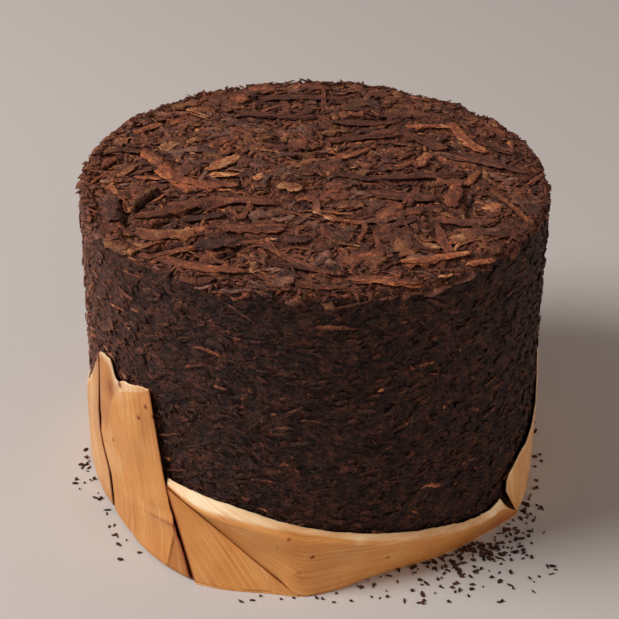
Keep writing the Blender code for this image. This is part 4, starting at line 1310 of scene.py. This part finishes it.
def makeFrontSheath(finishes):
    feet = [polar(azimuth, radius * mm, 0) for (azimuth, radius), _, _ in frontStations]
    shoulder = [polar(azimuth, radius * mm, height * mm) for _, (azimuth, radius, height), _ in frontStations]
    lip = [polar(azimuth, sheath["lip"], height * mm) for _, _, (azimuth, height) in frontStations]
    pleat = [between(shoulder[0], feet[flapCorner], i / flapCorner) for i in range(flapCorner)]
    under = [between(fold, foot, 0.2) * 0.992 for fold, foot in zip(pleat, feet)]
    beyond = feet[flapCorner:]
    makeSheet("sheath_front_band", "sheath_front", {
        **frontBand, "rails": (under + beyond, pleat + beyond, shoulder, lip)}, finishes)
    proud = [point + Vector((point.x, point.y, 0)).normalized() * 1.1 * mm for point in pleat]
    flapFeet = feet[:flapCorner + 1]
    inner = tuckedUnder(flapFeet, sheath["tucked"])
    makeSheet("sheath_front_flap", "sheath_front", {
        **frontFlap, "rails": (inner, flapFeet, proud + [feet[flapCorner]])}, finishes)
    first, last = frontStations[0][0][0], frontStations[-1][0][0] - 360
    count = len(frontStations) - 1
    behind = [polar(between(first, last, i / count), sheath["tucked"], 0) for i in range(count + 1)]
    makeSheet("sheath_base", "sheath_front", {
        **baseSheet, "rails": (behind, tuckedUnder(feet, sheath["tucked"]), feet)}, finishes)


# The sheath at the right: foot and torn edge of each station
rightStations = (
    (-30.4, 121.0, -33.5, 15.4),
    (-29.6, 120.9, -33.4, 22.5),
    (-28.6, 120.6, -32.2, 26.0),
    (-26.4, 120.2, -28.4, 29.2),
    (-22.8, 119.4, -23.6, 30.8),
    (-18.5, 118.2, -19.2, 32.8),
    (-13.0, 117.4, -13.6, 36.0),
    (-7.5, 117.2, -7.6, 42.0),
    (-2.0, 117.2, -2.0, 52.0),
    (4.0, 117.2, 4.0, 67.0),
    (10.0, 117.2, 10.0, 72.0),
    (16.0, 117.2, 16.0, 69.0),
    (22.0, 117.2, 22.0, 62.0),
    (28.0, 117.2, 28.0, 57.0),
    (34.0, 117.2, 34.0, 53.0),
)
rightSheet = {
    "seed": 41, "columns": 110, "rows": (2, 46), "softness": 0.08, "firstFree": 1.0,
    "torn": 0.7, "buckle": 0.3, "grainTurn": -12,
    "pale": lambda at: 0.24 + 0.5 * np.exp(-at.fromTop / 1.2),
    "shade": lambda at: 0.12 * at.noise,
}
backSheet = {
    "seed": 42, "columns": 200, "rows": (2, 40), "softness": 0.08, "firstFree": 1.0,
    "torn": 1.3, "buckle": 0.4, "grainTurn": 6,
    "tops": (48, 50, 54, 60, 62, 58, 54, 55, 52, 46, 44, 47, 49, 46, 42, 40, 43, 46, 43, 40, 38),
    "from": 35, "to": 161,
    "pale": lambda at: 0.1 + 0.6 * np.exp(-at.fromTop / 1.5),
    "shade": lambda at: 0.1 + 0.15 * at.noise,
}


def makeSideSheaths(finishes):
    feet = [polar(azimuth, radius * mm, 0) for azimuth, radius, _, _ in rightStations]
    tops = [polar(azimuth, sheath["wall"], height * mm) for _, _, azimuth, height in rightStations]
    makeSheet("sheath_right", "sheath_right", {
        **rightSheet, "rails": (tuckedUnder(feet, sheath["tucked"]), feet, tops)}, finishes)
    count = len(backSheet["tops"]) - 1
    turns = [between(backSheet["from"], backSheet["to"], i / count) for i in range(count + 1)]
    feet = [polar(turn, sheath["wall"], 0) for turn in turns]
    tops = [polar(turn, sheath["wall"], height * mm) for turn, height in zip(turns, backSheet["tops"])]
    makeSheet("sheath_back", "sheath_back", {
        **backSheet, "rails": (tuckedUnder(feet, sheath["tucked"]), feet, tops)}, finishes)


def makeSheaths():
    finishes = (sheathFinish("sheath_outer"), sheathFinish("sheath_inner"))
    makeLeftSheath(finishes)
    makeFrontSheath(finishes)
    makeSideSheaths(finishes)


studio = {
    "floorSize": 6.0,
    "floorColour": (0.540, 0.503, 0.484, 1),
    "sky": (1.0, 0.86, 0.77, 1),
    "skyStrength": 0.27,
    "lights": (
        # name, place, aimed at, size, watts, colour
        ("key", (-1.62, -0.30, 1.65), (0, 0, 0.1), 1.1, 52, (1.0, 0.975, 0.945)),
        ("fill", (1.7, -1.4, 0.35), (0, 0, 0.06), 1.3, 14, (1.0, 0.86, 0.76)),
    ),
    "cameraPlace": (-1.84 * mm, -755.57 * mm, 538.71 * mm),
    "cameraPitch": 31.159,
    "cameraRoll": 0.567,
    "lens": 100.2,
}


def makeFloor():
    bm = bmesh.new()
    bmesh.ops.create_grid(bm, x_segments=1, y_segments=1, size=studio["floorSize"])
    mesh = bpy.data.meshes.new("floor")
    bm.to_mesh(mesh)
    bm.free()
    finish = Finish("pale_floor")
    floor = addPiece("floor", mesh, finish.set(Base_Color=studio["floorColour"], Roughness=0.85))


def makeLights():
    for name, place, aim, size, watts, colour in studio["lights"]:
        data = bpy.data.lights.new(name, "AREA")
        data.shape = "DISK"
        data.size = size
        data.energy = watts
        data.color = colour
        lamp = bpy.data.objects.new(name, data)
        lamp.location = place
        lamp.rotation_euler = (Vector(aim) - Vector(place)).to_track_quat("-Z", "Y").to_euler()
        bpy.context.scene.collection.objects.link(lamp)
    world = bpy.data.worlds.new("studio")
    world.use_nodes = True
    background = world.node_tree.nodes["Background"]
    background.inputs["Color"].default_value = studio["sky"]
    background.inputs["Strength"].default_value = studio["skyStrength"]
    bpy.context.scene.world = world
    bpy.context.scene.view_settings.view_transform = "Standard"


def makeCamera():
    data = bpy.data.cameras.new("camera")
    data.sensor_width = 36
    data.lens = studio["lens"]
    camera = bpy.data.objects.new("camera", data)
    camera.location = studio["cameraPlace"]
    pitch = Matrix.Rotation(math.radians(90 - studio["cameraPitch"]), 4, "X")
    roll = Matrix.Rotation(math.radians(studio["cameraRoll"]), 4, "Z")
    camera.rotation_euler = (pitch @ roll).to_euler()
    bpy.context.scene.collection.objects.link(camera)
    bpy.context.scene.camera = camera


makeCamera()
makeLights()
makeFloor()
pressedLeaf = leafFinish("pressed_leaf", leafLooks["topGrain"])
crumbledLeaf = leafFinish("crumbled_leaf", leafLooks["sideGrain"])
makeCore(crumbledLeaf)
makeLeaves(pressedLeaf, crumbledLeaf)
makeSheaths()
